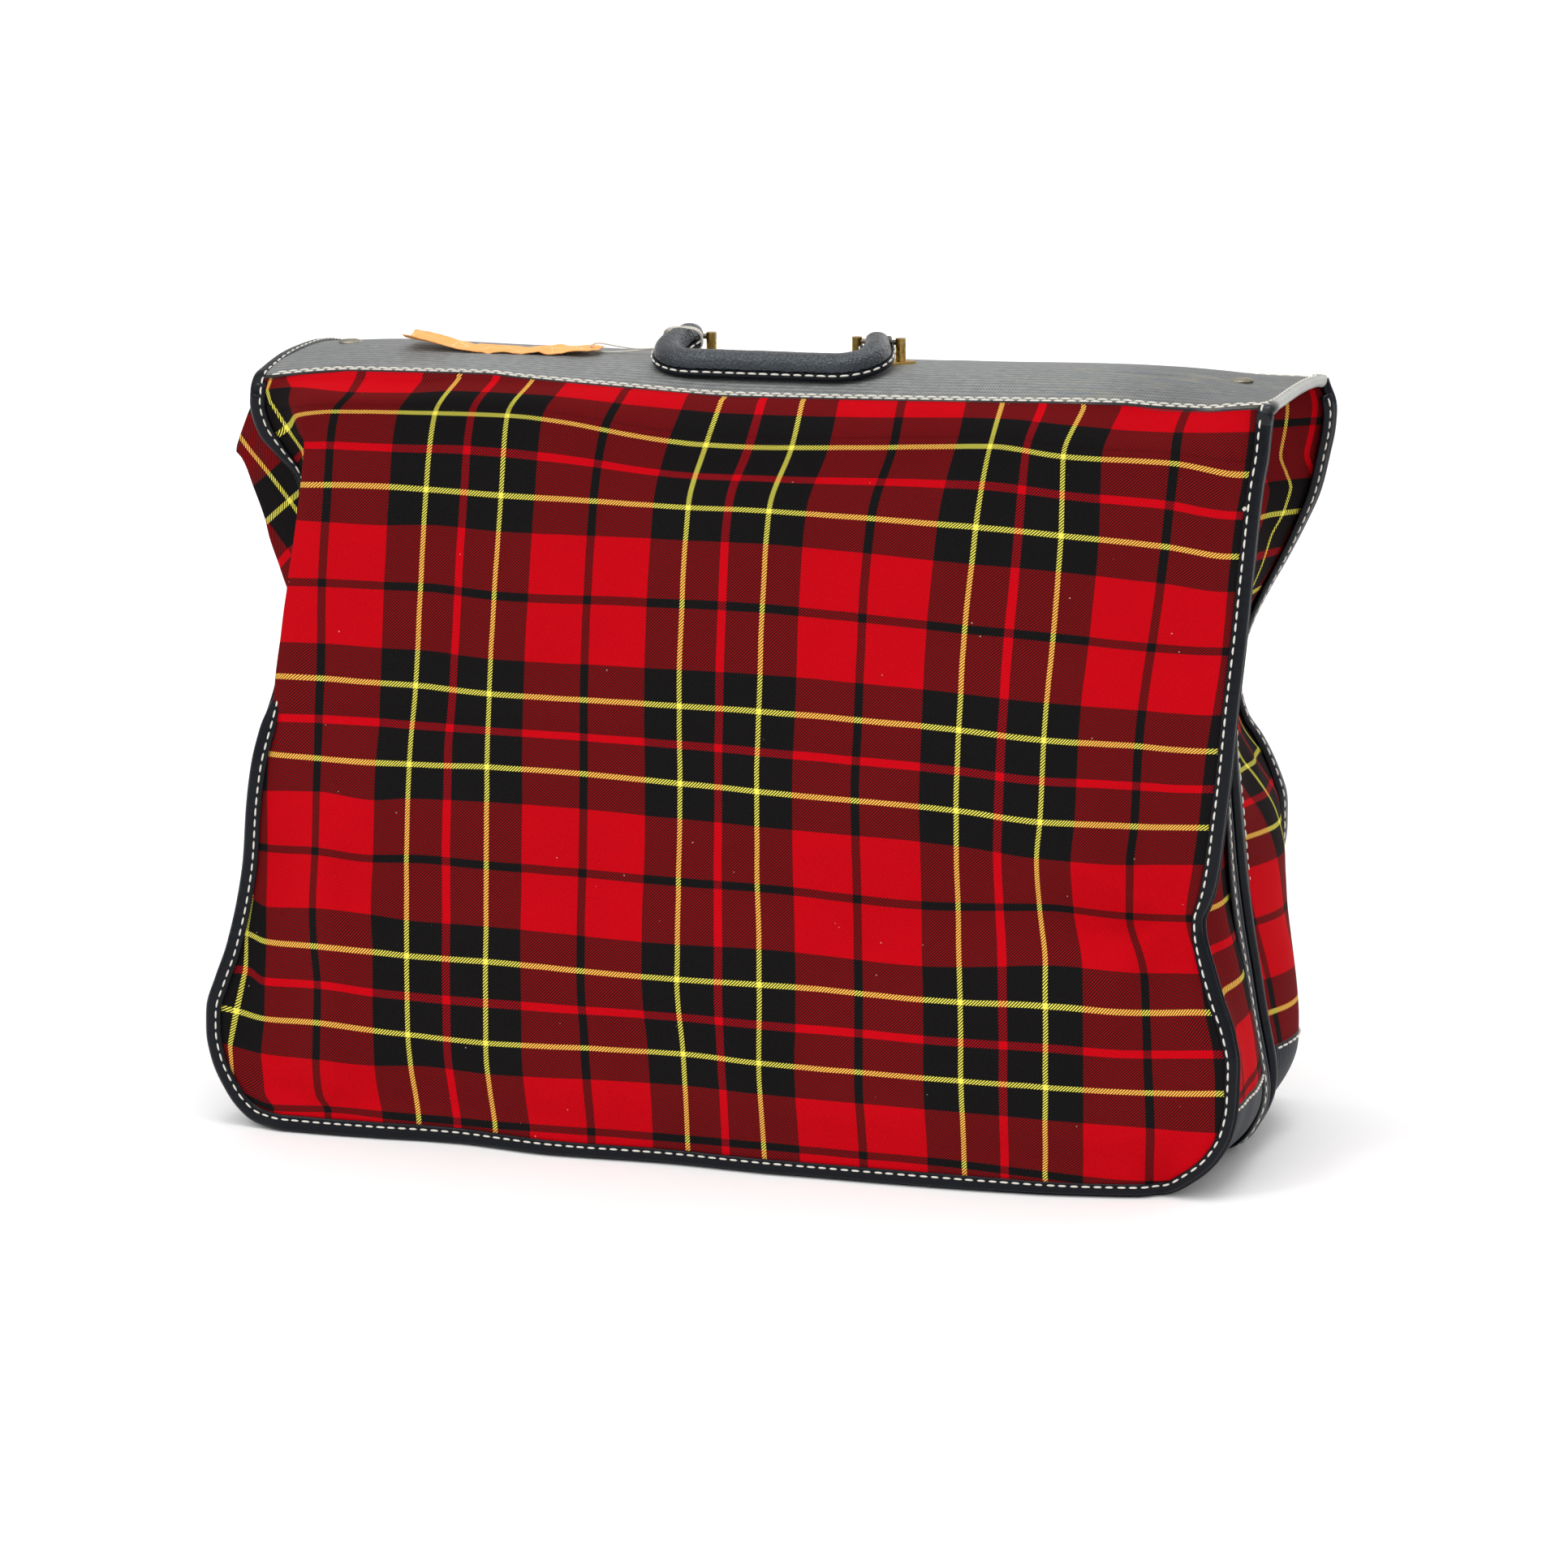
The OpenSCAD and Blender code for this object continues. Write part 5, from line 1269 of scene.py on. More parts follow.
def rear_panel():
    W = np.concatenate([np.arange(-15, 61, 3.0), np.arange(63, 462, 4.0)])
    n = 165
    s = np.linspace(0, 1, n)
    z = 449.5 - W * 0.972
    z = np.where(W < 20, 447 - 0.55 * (W + 15) - 0.0105 * (W + 15) ** 2, z)
    z = pchip([-15, 20, 60, 461], [447.4, 424, 388, 3.8], W)
    zc = np.clip(z, 42, 446)
    xr, yr = edge_x(LOOP_R, zc, True)
    xl, yl = edge_x(LOOP_R, zc, False)
    foot = LOOP_R[LOOP_R[:, 2] < 5]
    X = xl[:, None] + (xr - xl)[:, None] * s
    yb = np.interp(X[-1], foot[:, 0], foot[:, 1])
    t = ((W + 15) / 476)[:, None]
    yL, yR = yl[:, None], yr[:, None]
    top = 69.0
    Y = (1 - s) * yL + s * yR + (1 - t) * top + t * yb - ((1 - s) * (1 - t) * top + s * (1 - t) * top + (1 - s) * t * yb[0] + s * t * yb[-1])
    UU, WW = np.meshgrid(s * 600 - 105, W)
    Z = np.repeat(z[:, None], n, 1)
    inner = hump(s, 0.5, 0.42)[None] * np.ones_like(WW)
    edge = smooth(0, 0.06, s) * (1 - smooth(0.94, 1, s))
    bul = 8.0 * hump(WW, 8, 17) * edge + 5.0 * hump(WW, 390, 90) * inner + 4.0 * hump(WW, 230, 120) * inner
    wr = 2.0 * wave_noise(UU / 70 + 11, WW / 85 + 5) + 0.7 * wave_noise(UU / 26 + 2, WW / 34 + 3)
    wr += 3.0 * hump(UU, 470 - (WW - 150) * 0.3, 26) * hump(WW, 190, 70) - 2.4 * hump(UU, 420, 22) * hump(WW, 200, 60)
    Y = Y + (bul + wr * edge) * smooth(-15, -4, WW) * (1 - smooth(446, 461, WW))
    ins = inside_xz(X, Z, LOOP_R)
    d, c = nearest_on(X, Z, LOOP_R)
    out = ~ins & (WW > 12)
    X, Z = np.where(out, c[..., 0], X), np.where(out, c[..., 2], Z)
    w = (1 - smooth(7, 24, np.where(out, 0, d))) * smooth(0, 25, WW)
    Y = Y * (1 - w) + (c[..., 1] + 1.6) * w
    P = np.stack([X, Y, Z], -1)
    keep = ~(out[:-1, :-1] & out[1:, :-1] & out[:-1, 1:] & out[1:, 1:])
    uv = np.stack([390 - UU + 60, WW], -1)
    u1, u2 = P[0] + A([0, -1.2, -1.6]), A([1, 0, 0]) * P[0] + A([0, 64.5, 444.4])
    P = np.concatenate([u2[None], u1[None], P])
    uv = np.concatenate([uv[:1] - A([0, 7.0]), uv[:1] - A([0, 2.0]), uv])
    keep = np.concatenate([np.ones((2, keep.shape[1]), bool), keep])
    W = np.concatenate([[-22, -17], W])
    k = int(np.argmin(abs(W - 15)))
    hi, lo = P[k, :, 2].max(), P[k, :, 2].min()
    a = cloth_sheet("Rear_panel_top", P[: k + 1], uv[: k + 1], 1.2, [TARTAN, LINING], keep[:k], flip=-1, slot="tartan", held="folded", rests=["spine_cover"])
    b = cloth_sheet("Rear_panel", P[k:], uv[k:], 1.2, [TARTAN, LINING], keep[k:], flip=-1, slot="tartan", replaces=("rear_panel",), held="hung", rests=["spine_cover"])
    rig.blend(a, "spine", "rear_divider", (0, 0.068, 0.450), (0, 0.068, (hi + 1) / 1000))
    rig.blend(b, "rear_divider", "rear_shell", (0, 0.075, (lo - 1) / 1000), (0, 0.079, (lo - 45) / 1000))
    return P


PANEL_R = rear_panel()
binding("Rear_outer_binding", LOOP_R, loop_normals(LOOP_R, (0.0, 1, 0.09)), A([0, 90, 230.0]) - LOOP_R, "rear_shell",
        replaces=("rear_outer_binding",), stitch=3.9)


# ------------------------------------------------------------------ inner edges
def inner_shift(z, right):
    """How far the soft case draws its inner edges in from the straight ones."""
    k = pchip([0, 10, 27, 42, 56, 81, 110, 138, 167, 196, 250, 300, 360, 400, 440],
              [10, 12, 14, 14, 16, 21, 26, 31, 35, 38, 42, 43, 43, 40, 33], z)
    return -k if right else k * 0.62


def inner_path(r, y, top, n=420, dx=0.0):
    """U line about the foot corners at radius r, drawn in with the cloth."""
    zc = 39.0
    pts = [(-269 - r, z) for z in np.arange(top, zc, -8.0)]
    pts += [(-269 - r * math.cos(t), zc - r * math.sin(t)) for t in np.linspace(0, math.pi / 2, 12)]
    pts += [(x, zc - r) for x in np.linspace(-255, 255, 60)]
    pts += [(269 + r * math.sin(t), zc - r * math.cos(t)) for t in np.linspace(0, math.pi / 2, 12)]
    pts += [(269 + r, z) for z in np.arange(zc + 8, top, 8.0)] + [(269 + r, top)]
    q = []
    for x, z in pts:
        w = float(smooth(250, 300, abs(x)) if z < 30 else smooth(250 - 130 * smooth(30, 60, z), 304, abs(x)))
        more = dx * math.copysign(float(smooth(14, 60, z) * (1 - smooth(330, 420, z))), x)
        q.append((x + float(inner_shift(np.array([z]), x > 0)[0]) * w + more, y, z))
    return smooth_path(A(q, float), n, 1)


for side, sg in (("front", -1), ("rear", 1)):
    path = inner_path(35.0, sg * 4.3, 438.0, dx=3.2 if sg > 0 else -0.6)
    globals()["INNER_" + side[0].upper()] = path
    nm = side.capitalize() + "_inner_binding"
    # the flange lies on the half's inner side, away from the middle plane
    binding(nm, path, loop_normals(path, (0.0, sg, 0.0)), A([0, sg * 4.3, 230.0]) - path, side + "_shell", bead=3.85,
            replaces=(side + "_inner_binding",), stitch=4.0, stitches=False, flange=9.5, high0=3.6, high1=3.4)


# ------------------------------------------------------------------ gussets and feet
def by_height(loop, zs, right, zmin=46):
    part = loop[loop[:, 0] > 0] if right else loop[loop[:, 0] < 0]
    part = part[part[:, 2] > zmin - 6]
    o = np.argsort(part[:, 2])
    part = part[o]
    return np.stack([np.interp(zs, part[:, 2], part[:, k]) if k < 2 else zs for k in range(3)], -1)


def low_part(loop, z0, n):
    """The loop below z0, from left to right, evenly spaced."""
    k = np.nonzero(loop[:, 2] < z0)[0]
    a = by_height(loop, A([z0]), False)
    b = by_height(loop, A([z0]), True)
    return resample(np.concatenate([a, loop[k[0] + 1 : k[-1]], b]), n)


Z0, Z0_REAR = 52.0, 61.0
ZS = np.concatenate([np.linspace(443, Z0, 110)])
M = np.linspace(0, 1, 27)


def gusset_side(outer, inner, right, offs, name, body, node, uvf, front, mid=None):
    """The strip of cloth between a half's two edges, down one side."""
    o = by_height(outer, ZS, right)
    i_ = by_height(inner, np.minimum(ZS, 436), right)
    i_[:, 2] = ZS
    sx = 1 if right else -1
    o = o + A([-sx * 1.0, 2.0 if front else -2.0, 0])
    P = o[:, None] * (1 - M)[None, :, None] + i_[:, None] * M[None, :, None]
    zz = np.repeat(ZS[:, None], len(M), 1)
    mm = np.repeat(M[None], len(ZS), 0)
    P[..., 0] += offs(zz, mm)
    if mid is not None:  # the crease that stands out furthest follows the silhouette
        k = len(M) // 2
        amount = (smooth(mid[0, 0] - 30, mid[0, 0], ZS) * (1 - smooth(436, 444, ZS)))[:, None]
        ridge = ((1 - abs(2 * M - 1)) ** 1.1)[None]
        want = pchip(mid[:, 0], mid[:, 1], ZS)
        deep = pchip([300, 330, 380, 420, 445], [-50, -54, -54, -58, -62], ZS)
        P[..., 0] += (want - P[:, k, 0])[:, None] * amount * ridge
        P[..., 1] += (deep - P[:, k, 1])[:, None] * amount * ridge
    a = np.concatenate([np.zeros((len(ZS), 1)), np.cumsum(np.linalg.norm(np.diff(P, axis=1), axis=2), axis=1)], 1)
    uv = uvf(a, zz, P)
    flip = -1 if (right != front) else 1
    ob = cloth_sheet(name, P, uv, 1.0, [TARTAN, LINING], flip=flip, body=body, slot="tartan", replaces=(node,), held="hung",
                     rests=["front_outer_binding" if front else "rear_outer_binding"])
    return P


def off_front_right(z, m):
    arch = -(6 * smooth(300, 420, z)) * np.sin(math.pi * m)
    fold = -7.0 * hump(m, 0.42, 0.16) * hump(z, 150, 80) + 3.0 * hump(m, 0.75, 0.16) * hump(z, 100, 60)
    bulge = 3.5 * np.sin(math.pi * m) * hump(z, 60, 50)
    noise = 1.6 * wave_noise(z / 46 + 3, m * 4 + 2) * np.sin(math.pi * m)
    return arch + fold + bulge + noise - 7.0 * np.sin(math.pi * m) * hump(z, 240, 90)


def off_front_left(z, m):
    tip = pchip([0, 46, 120, 200, 260, 300], [4, 6, 8, 4, 4, 6], np.minimum(z, 300))
    noise = 1.4 * wave_noise(z / 40 + 13, m * 4 + 6) * np.sin(math.pi * m) * (1 - smooth(290, 330, z))
    return -(tip * np.sin(math.pi * m)) * (1 - smooth(300, 330, z)) + noise


EAR = at_y(*A([(356, 735, -54), (345, 700, -54), (331.3, 660, -54), (327.1, 642, -54), (311.7, 598.6, -54), (295.5, 558.8, -54), (292.0, 555.5, -54),
               (296.2, 538.2, -55), (300.4, 525.6, -56), (309, 503.5, -57), (316, 488, -58)], float).T)[:, [2, 0]]
EAR0 = at_y(352.3, 619.0, -62.0)


def off_rear_right(z, m):
    arch = -(18 * smooth(330, 430, z)) * np.sin(math.pi * m) ** 0.8
    k = pchip([0, 46, 75, 110, 143, 174, 215, 260, 300], [13, 15, 17, 18, 16, 11, 4, 0, -2], np.minimum(z, 300))
    noise = 1.4 * wave_noise(z / 44 + 23, m * 4 + 9) * np.sin(math.pi * m)
    return arch + k * np.sin(math.pi * m) + noise


def off_rear_left(z, m):
    k = pchip([0, 46, 150, 260, 340, 400, 445], [8, 9, 12, 6, -4, -14, -18], z)
    noise = 1.6 * wave_noise(z / 44 + 33, m * 4 + 19) * np.sin(math.pi * m)
    return -k * np.sin(math.pi * m) + noise


def z_of(v, u, y):
    return at_y(A([float(u)]), A([float(v)]), A([float(y)]))[0, 2]


_frw = sorted([(z_of(1128, 1495, -60), 21.0), (z_of(1212, 1518, -45), 67.0), (z_of(1400, 1522, -45), 170.0), (z_of(900, 1505, -45), -104.0),
               (z_of(500, 1565, -45), -330.0)])
_rrw = sorted([(z_of(v, u, 55) + (4 if w == 67 else 9 if w == 125 else 8 if w > 125 else 0), w) for v, u, w in
               ((500, 1600, -210.0), (635, 1570, -141.0), (733, 1555, -95.0), (1019, 1552, 67.0), (1131, 1568, 125.0), (1239, 1577, 183.0), (1330, 1580, 232.0))])


def uv_front_right(a, z, P):
    w = pchip(*A(_frw).T, z + 5.0)
    return np.stack([a - 62.0, w + 6 * (a / 90)], -1)


def uv_rear_right(a, z, P):
    w = pchip(*A(_rrw).T, z)
    o = pchip([0, 170, 194, 215, 235, 260, 300, 344, 353, 368, 382, 392, 404, 420, 440], [38, 38, 34, 21, 7, 5, 26, 40, 40, 46, 46, 39, 31, 32, 34], z)
    k = pchip([0, 220, 300, 440], [1.0, 1.0, 1.25, 1.35], z)
    return np.stack([o + a * k, w], -1)


def uv_front_left(a, z, P):
    p, q = P[:, :1, 0] - a - EAR0[0], z - EAR0[2]
    return np.stack([67.0 - 0.766 * p - 0.643 * q, 67.0 - 0.625 * p + 0.781 * q], -1)


def uv_rear_left(a, z, P):
    return np.stack([30 + a, 446 - z], -1)


GFR = gusset_side(LOOP_F, INNER_F, True, off_front_right, "Front_gusset_right", "front_shell", "front_gusset_right", uv_front_right, True)
GFL = gusset_side(LOOP_F, INNER_F, False, off_front_left, "Front_gusset_left", "front_shell", "front_gusset_left", uv_front_left, True, EAR)
ZS = np.linspace(443, Z0_REAR, 110)
GRR = gusset_side(LOOP_R, INNER_R, True, off_rear_right, "Rear_gusset_right", "rear_shell", "rear_gusset_right", uv_rear_right, False)
GRL = gusset_side(LOOP_R, INNER_R, False, off_rear_left, "Rear_gusset_left", "rear_shell", "rear_gusset_left", uv_rear_left, False)


def foot_strip(outer, inner, sides, name, body, nodes, front):
    """The vinyl foot: both lower corners and the strip that stands on the floor."""
    n = 300
    o = low_part(outer, Z0 if front else Z0_REAR, n)
    i_ = low_part(inner, Z0 if front else Z0_REAR, n)
    o = o + A([0, 2.0 if front else -2.0, 0.3])
    P = o[:, None] * (1 - M)[None, :, None] + i_[:, None] * M[None, :, None]
    mid = 0.5 * (o + i_)
    # outward is away from the middle of the pocket in the x-z plane
    t = tangents(mid)
    nrm = unit(np.stack([t[:, 2], 0 * t[:, 0], -t[:, 0]], -1))
    L, R = sides
    k = np.linspace(0, 1, n)
    endL = (1 - smooth(0.0, 0.11, k))[:, None, None]
    endR = smooth(0.89, 1.0, k)[:, None, None]
    dL = (L[-1] - P[0])[None]
    dR = (R[-1] - P[-1])[None]
    P = P + dL * endL + dR * endR
    P[..., 2] = np.maximum(P[..., 2], 0.3)
    a = np.concatenate([np.zeros((n, 1)), np.cumsum(np.linalg.norm(np.diff(P, axis=1), axis=2), axis=1)], 1)
    s = arclen(mid)
    uv = np.stack([np.repeat(s[:, None], len(M), 1), a], -1)
    N = grid_normals(P)
    face = -1 if N[n // 2, len(M) // 2][2] > 0 else 1
    ob = cloth_sheet(name, P, uv, 1.4, [FOOT_V, LINING], flip=face, body=body, slot="spine_vinyl", replaces=nodes)
    # a line of stitches holds the vinyl's two ends to the gussets
    sb = Builder()
    for rowi in (1, n - 2):
        line, nn = P[rowi], N[rowi] * face
        line, nn = line[1:-1], nn[1:-1]
        add_stitches(sb, line + nn * 0.35, nn, pitch=6.2, length=4.9, width=1.3, high=0.8, start=1.0)
    sb.make(name + "_stitches", THREAD, body=body, slot="string")
    return P


BF = foot_strip(LOOP_F, INNER_F, (GFL, GFR), "Front_foot", "front_shell", ("front_base", "front_base_corner_left", "front_base_corner_right"), True)
BR = foot_strip(LOOP_R, INNER_R, (GRL, GRR), "Rear_foot", "rear_shell", ("rear_base", "rear_base_corner_left", "rear_base_corner_right"), False)

# the stitched edges of the two inner bindings face outwards, so their thread is seen beside the gussets
for side, sg in (("front", -1), ("rear", 1)):
    path, outer = (INNER_F, LOOP_F) if sg < 0 else (INNER_R, LOOP_R)
    t = tangents(path)
    near = outer[np.argmin(((outer[None, ::4] - path[:, None]) ** 2)[..., [0, 2]].sum(-1), 1) * 4]
    lap = unit(near - path)
    lap = unit(lap - (lap * t).sum(1)[:, None] * t)
    k9 = np.ones(15) / 15
    lap = unit(np.stack([np.convolve(np.pad(lap[:, c], 7, mode="edge"), k9, "valid") for c in range(3)], 1))
    out = unit(np.cross(t, lap))
    out = out * np.sign((out * (path - A([0, 0, 230])) * A([1, 0, 1])).sum(1))[:, None]
    # a flat edge of the same vinyl laps on to the gusset
    b = Builder()
    prof = [(0.5, 2.6), (3.2, 3.4), (5.5, 3.0), (9.0, 2.3), (11.4, 1.7), (11.3, 0.5), (6.0, 0.8), (0.5, 1.0)]
    flip = float((np.cross(lap[5], out[5]) * t[5]).sum()) < 0
    add_sweep(b, path, lap, out, prof, flip=not flip)
    b.make(side.capitalize() + "_inner_binding_edge", BINDING, body=side + "_shell", slot="binding_vinyl")
    sb = Builder()
    line = path + lap * 7.2 + out * 2.45
    add_stitches(sb, line, out, bow=0.1, start=2.0)
    sb.make(side.capitalize() + "_inner_binding_stitches", THREAD, body=side + "_shell", slot="string")


def side_flange(name, outer, inner, body, front, wide, sewn):
    """The binding's other flange, on the gusset."""
    n = 420
    lo = outer[outer[:, 2] < (446 if front else 440)]
    path = resample(lo, n)
    t = tangents(path)
    mid = A([0, 0, 230.0])
    side = np.repeat(A([[0, 1.0 if front else -1.0, 0]]), n, 0)
    near = inner[np.argmin(((inner[None, ::4] - path[:, None]) ** 2)[..., [0, 2]].sum(-1), 1) * 4]
    side = unit(near - path)
    side = unit(side - (side * t).sum(1)[:, None] * t)
    k = np.ones(9) / 9
    side = unit(np.stack([np.convolve(np.pad(side[:, c], 4, mode="edge"), k, "valid") for c in range(3)], 1))
    out = np.cross(t, side)
    out = unit(out * np.sign((out * (path - mid) * A([1, 0, 1])).sum(1))[:, None])
    prof = [(wide, 1.5), (0.7 * wide, 2.7), (0.38 * wide, 3.5), (0.1 * wide, 3.75), (-0.6, 2.4), (0.25 * wide, 0.9), (wide - 0.2, 0.4)]
    b = Builder()
    flip = float((np.cross(side[5], out[5]) * t[5]).sum()) < 0
    add_sweep(b, path, side, out, prof, flip=not flip)
    b.make(name, BINDING, body=body, slot="binding_vinyl")
    if sewn:
        sb = Builder()
        add_stitches(sb, path + side * 4.3 + out * 2.95, out, bow=0.1)
        sb.make(name + "_stitches", THREAD, body=body, slot="string")


side_flange("Front_outer_binding_side", LOOP_F, INNER_F, "front_shell", True, 5.6, False)
side_flange("Rear_outer_binding_side", LOOP_R, INNER_R, "rear_shell", False, 8.0, True)


# ------------------------------------------------------------------ inner panels, webs and zips
def half_width(z):
    """Half the inner panel's width at height z in the straight case."""
    z = np.asarray(z, float)
    return np.where(z > 39, 284.0, 269 + np.sqrt(np.clip(15.0**2 - (39 - z) ** 2, 0, None)))


for side, sg in (("front", -1), ("rear", 1)):
    zs = np.concatenate([np.linspace(440.5, 60, 48), 39 - 15 * np.sin(np.linspace(-0.9, math.pi / 2, 14))[1:]])
    zs = np.unique(np.round(zs, 3))[::-1]
    s = np.linspace(-1, 1, 121)
    X = half_width(zs)[:, None] * s
    Z = np.repeat(zs[:, None], len(s), 1)
    for rgt, msk in ((True, X > 0), (False, X <= 0)):
        sh = inner_shift(np.maximum(Z.ravel(), 24), rgt).reshape(Z.shape)
        w = np.where(Z < 30, smooth(250, 300, abs(X)), smooth(250 - 130 * smooth(30, 60, Z), 304, abs(X)))
        X = np.where(msk, X + sh * w, X)
    Y = sg * (6.75 + 0.35 * wave_noise(X / 60 + 5, Z / 50)) + 0 * X
    P = np.stack([X, Y, Z], -1)
    uv = np.stack([X, Z], -1)
    ob = cloth_sheet(side.capitalize() + "_inner_panel", P, uv, 1.0, [LINING, LINING], flip=-sg if sg < 0 else -1, body=side + "_divider", slot="lining_cloth",
                     replaces=(side + "_inner_panel",), held="hung", rests=[side + "_top_web"])
    # web across the top, from the fold line to the inner panel
    xs = np.linspace(-270, 262, 90)
    ys = np.linspace(63, 7.8, 16)
    XX, YY = np.meshgrid(xs, ys)
    ZZ = 439.6 - 1.6 * np.sin(math.pi * (YY - 7.8) / 55.2) + 0.5 * wave_noise(XX / 50, YY / 30)
    P = np.stack([XX, sg * YY, ZZ], -1)
    cloth_sheet(side.capitalize() + "_top_web", P, np.stack([XX, YY], -1), 0.9, [LINING, LINING], flip=sg, body=side + "_divider", slot="lining_cloth",
                replaces=(side + "_top_web",), held="stretched", rests=["spine_lining"])
    # zip tapes with their rows of teeth
    for nm, r0, r1, tooth_r, body, node in (("zip_outer", 19.3, 22.8, 19.2, side + "_shell", side + "_zip_outer"),
                                            ("zip_inner", 15.0, 18.5, 18.6, side + "_divider", side + "_zip_inner")):
        path = inner_path((r0 + r1) / 2, sg * 6.75, 437.0, 360)
        t = tangents(path)
        out = unit(np.cross(t, A([0, 1.0, 0])))
        out = out * np.sign((out * (path - A([0, path[0, 1], 230]))).sum(1))[:, None]
        yd = np.repeat(A([[0, 1.0, 0]]), len(path), 0)
        h = (r1 - r0) / 2
        b = Builder()
        prof = [(-h, -0.35), (h, -0.35), (h, 0.35), (-h, 0.35)]
        flip = float((np.cross(out[5], yd[5]) * t[5]).sum()) < 0
        add_sweep(b, path, out, yd, prof, flip=not flip)
        b.make(side.capitalize() + "_" + nm, ZIP_TAPE, body=body, slot="zip_tape", replaces=(node,))
        tb = Builder()
        s_ = arclen(path)
        inward = -1 if nm == "zip_outer" else 1
        at = np.arange(1.2 + (0 if nm == "zip_outer" else 1.3), s_[-1] - 1, 2.6)
        C = A([np.interp(at, s_, path[:, k]) for k in range(3)]).T
        O = unit(A([np.interp(at, s_, out[:, k]) for k in range(3)]).T)
        T = unit(A([np.interp(at, s_, t[:, k]) for k in range(3)]).T)
        for c, o_, t_ in zip(C, O, T):
            if nm == "zip_outer" and c[2] < 30 and 229 < c[0] < 251:
                continue
            base = c + o_ * inward * (h - 1.5)
            tip = c + o_ * inward * (h + 0.15)
            y_ = A([0, 1.0, 0])
            v = []
            for q, wy, wt in ((base, 1.1, 0.45), (c + o_ * inward * (h - 0.6), 1.0, 0.6), (tip, 0.7, 0.55)):
                v += [q - y_ * wy - t_ * wt, q + y_ * wy - t_ * wt, q + y_ * wy + t_ * wt, q - y_ * wy + t_ * wt]
            f = []
            for k in (0, 4):
                f += [(k, k + 1, k + 5, k + 4), (k + 1, k + 2, k + 6, k + 5), (k + 2, k + 3, k + 7, k + 6), (k + 3, k, k + 4, k + 7)]
            f += [(3, 2, 1, 0), (8, 9, 10, 11)]
            tb.add(v, f)
        tb.make(side.capitalize() + "_" + nm + "_teeth", TEETH, body=body, slot="zip_tape", smooth_shade=False)


# ------------------------------------------------------------------ spine
CREST = A([(-304, 456.2), (-292, 457.1), (-234, 460.4), (-162, 459.1), (-80, 457.6), (-35, 457.4), (35, 457.4), (80, 457.6), (199, 459.0), (224, 458.4), (250, 456.6), (270, 454.0), (290, 451.9), (304, 451.1)])
LIP = A([(-310, 446.6), (-290, 448.9), (-266, 451.8), (-244, 453.5), (-199, 454.1), (-158, 454.4), (-139, 452.9), (-80, 449.7), (-12, 446.6), (70, 447.5), (149, 449.0),
         (214, 450.3), (239, 449.2), (263, 449.0), (278, 450.6), (292, 451.8), (304, 452.2)])
SP_X = np.linspace(-302.5, 302.5, 330)
SP_HALF = 68.2


def spine_z(x, y):
    crest = pchip(*CREST.T, np.clip(x, -304, 304))
    lip = pchip(*LIP.T, np.clip(x, -304, 304))
    lip_b = 447.6 - 1.0 * smooth(225, 300, x) - 0.9 * wave_noise(np.asarray(x) / 60 + 4, np.asarray(x) * 0 + 2)
    l_ = np.where(np.asarray(y) < 0, lip, lip_b)
    z = crest - (crest - l_) * (np.abs(y) / SP_HALF) ** 2.0
    dent = -0.35 * hump(x, -118, 30) * hump(y, -20, 26) + 0.5 * wave_noise(np.asarray(x) / 44 + 2, np.asarray(y) / 40 + 2)
    crease = -0.7 * hump(np.asarray(y) + 0.05 * (np.asarray(x) - 215) + 14, 0, 2.2) * hump(x, 222, 30)
    free = smooth(26, 44, np.abs(np.abs(x) - 57))
    return z + (dent * (1 - (np.abs(y) / SP_HALF) ** 4) + crease) * free


def spine_cover():
    ys = np.linspace(-SP_HALF, SP_HALF, 61)
    XX, YY = np.meshgrid(SP_X, ys)
    xr = pchip([-69, -58, -45, 0, 45, 69], [298.2, 299.4, 300.2, 301.0, 303.0, 304.0], ys)[:, None]
    XX = np.where(XX > 280, 280 + (XX - 280) * (xr - 280) / 22.5, XX)
    xl = pchip([-69, -58, -45, 0, 69], [-295.5, -298.5, -300.0, -300.6, -301.5], ys)[:, None]
    XX = np.where(XX < -280, -280 + (XX + 280) * (xl + 280) / -22.5, XX)
    ZZ = spine_z(XX.ravel(), YY.ravel()).reshape(XX.shape)
    top = np.stack([XX, YY, ZZ], -1)
    # the two long edges turn down and under
    def lip(row, sgn):
        out = []
        for a in (30, 60, 90, 125, 160, 185):
            r = 1.15
            q = row.copy()
            q[:, 1] += sgn * r * math.sin(math.radians(a))
            q[:, 2] -= r * (1 - math.cos(math.radians(a)))
            out.append(q)
        q = row.copy()
        q[:, 1] -= sgn * 7
        q[:, 2] -= 2.2 - 0.9
        out.append(q)
        return np.stack(out)
    front = lip(top[0], -1)[::-1]
    back = lip(top[-1], 1)
    b = Builder()
    P = np.concatenate([front, top, back])
    v = np.concatenate([[-SP_HALF - 12 + i * 0.8 for i in range(7)], ys, [SP_HALF + 1 + i * 0.8 for i in range(7)]])
    uv = np.stack(np.broadcast_arrays(P[..., 0], v[:, None]), -1)
    return cloth_sheet("Spine_cover", P, uv, 1.3, [SPINE_V, LINING], flip=-1, body="spine", slot="spine_vinyl", replaces=("spine_cover",))


spine_cover()

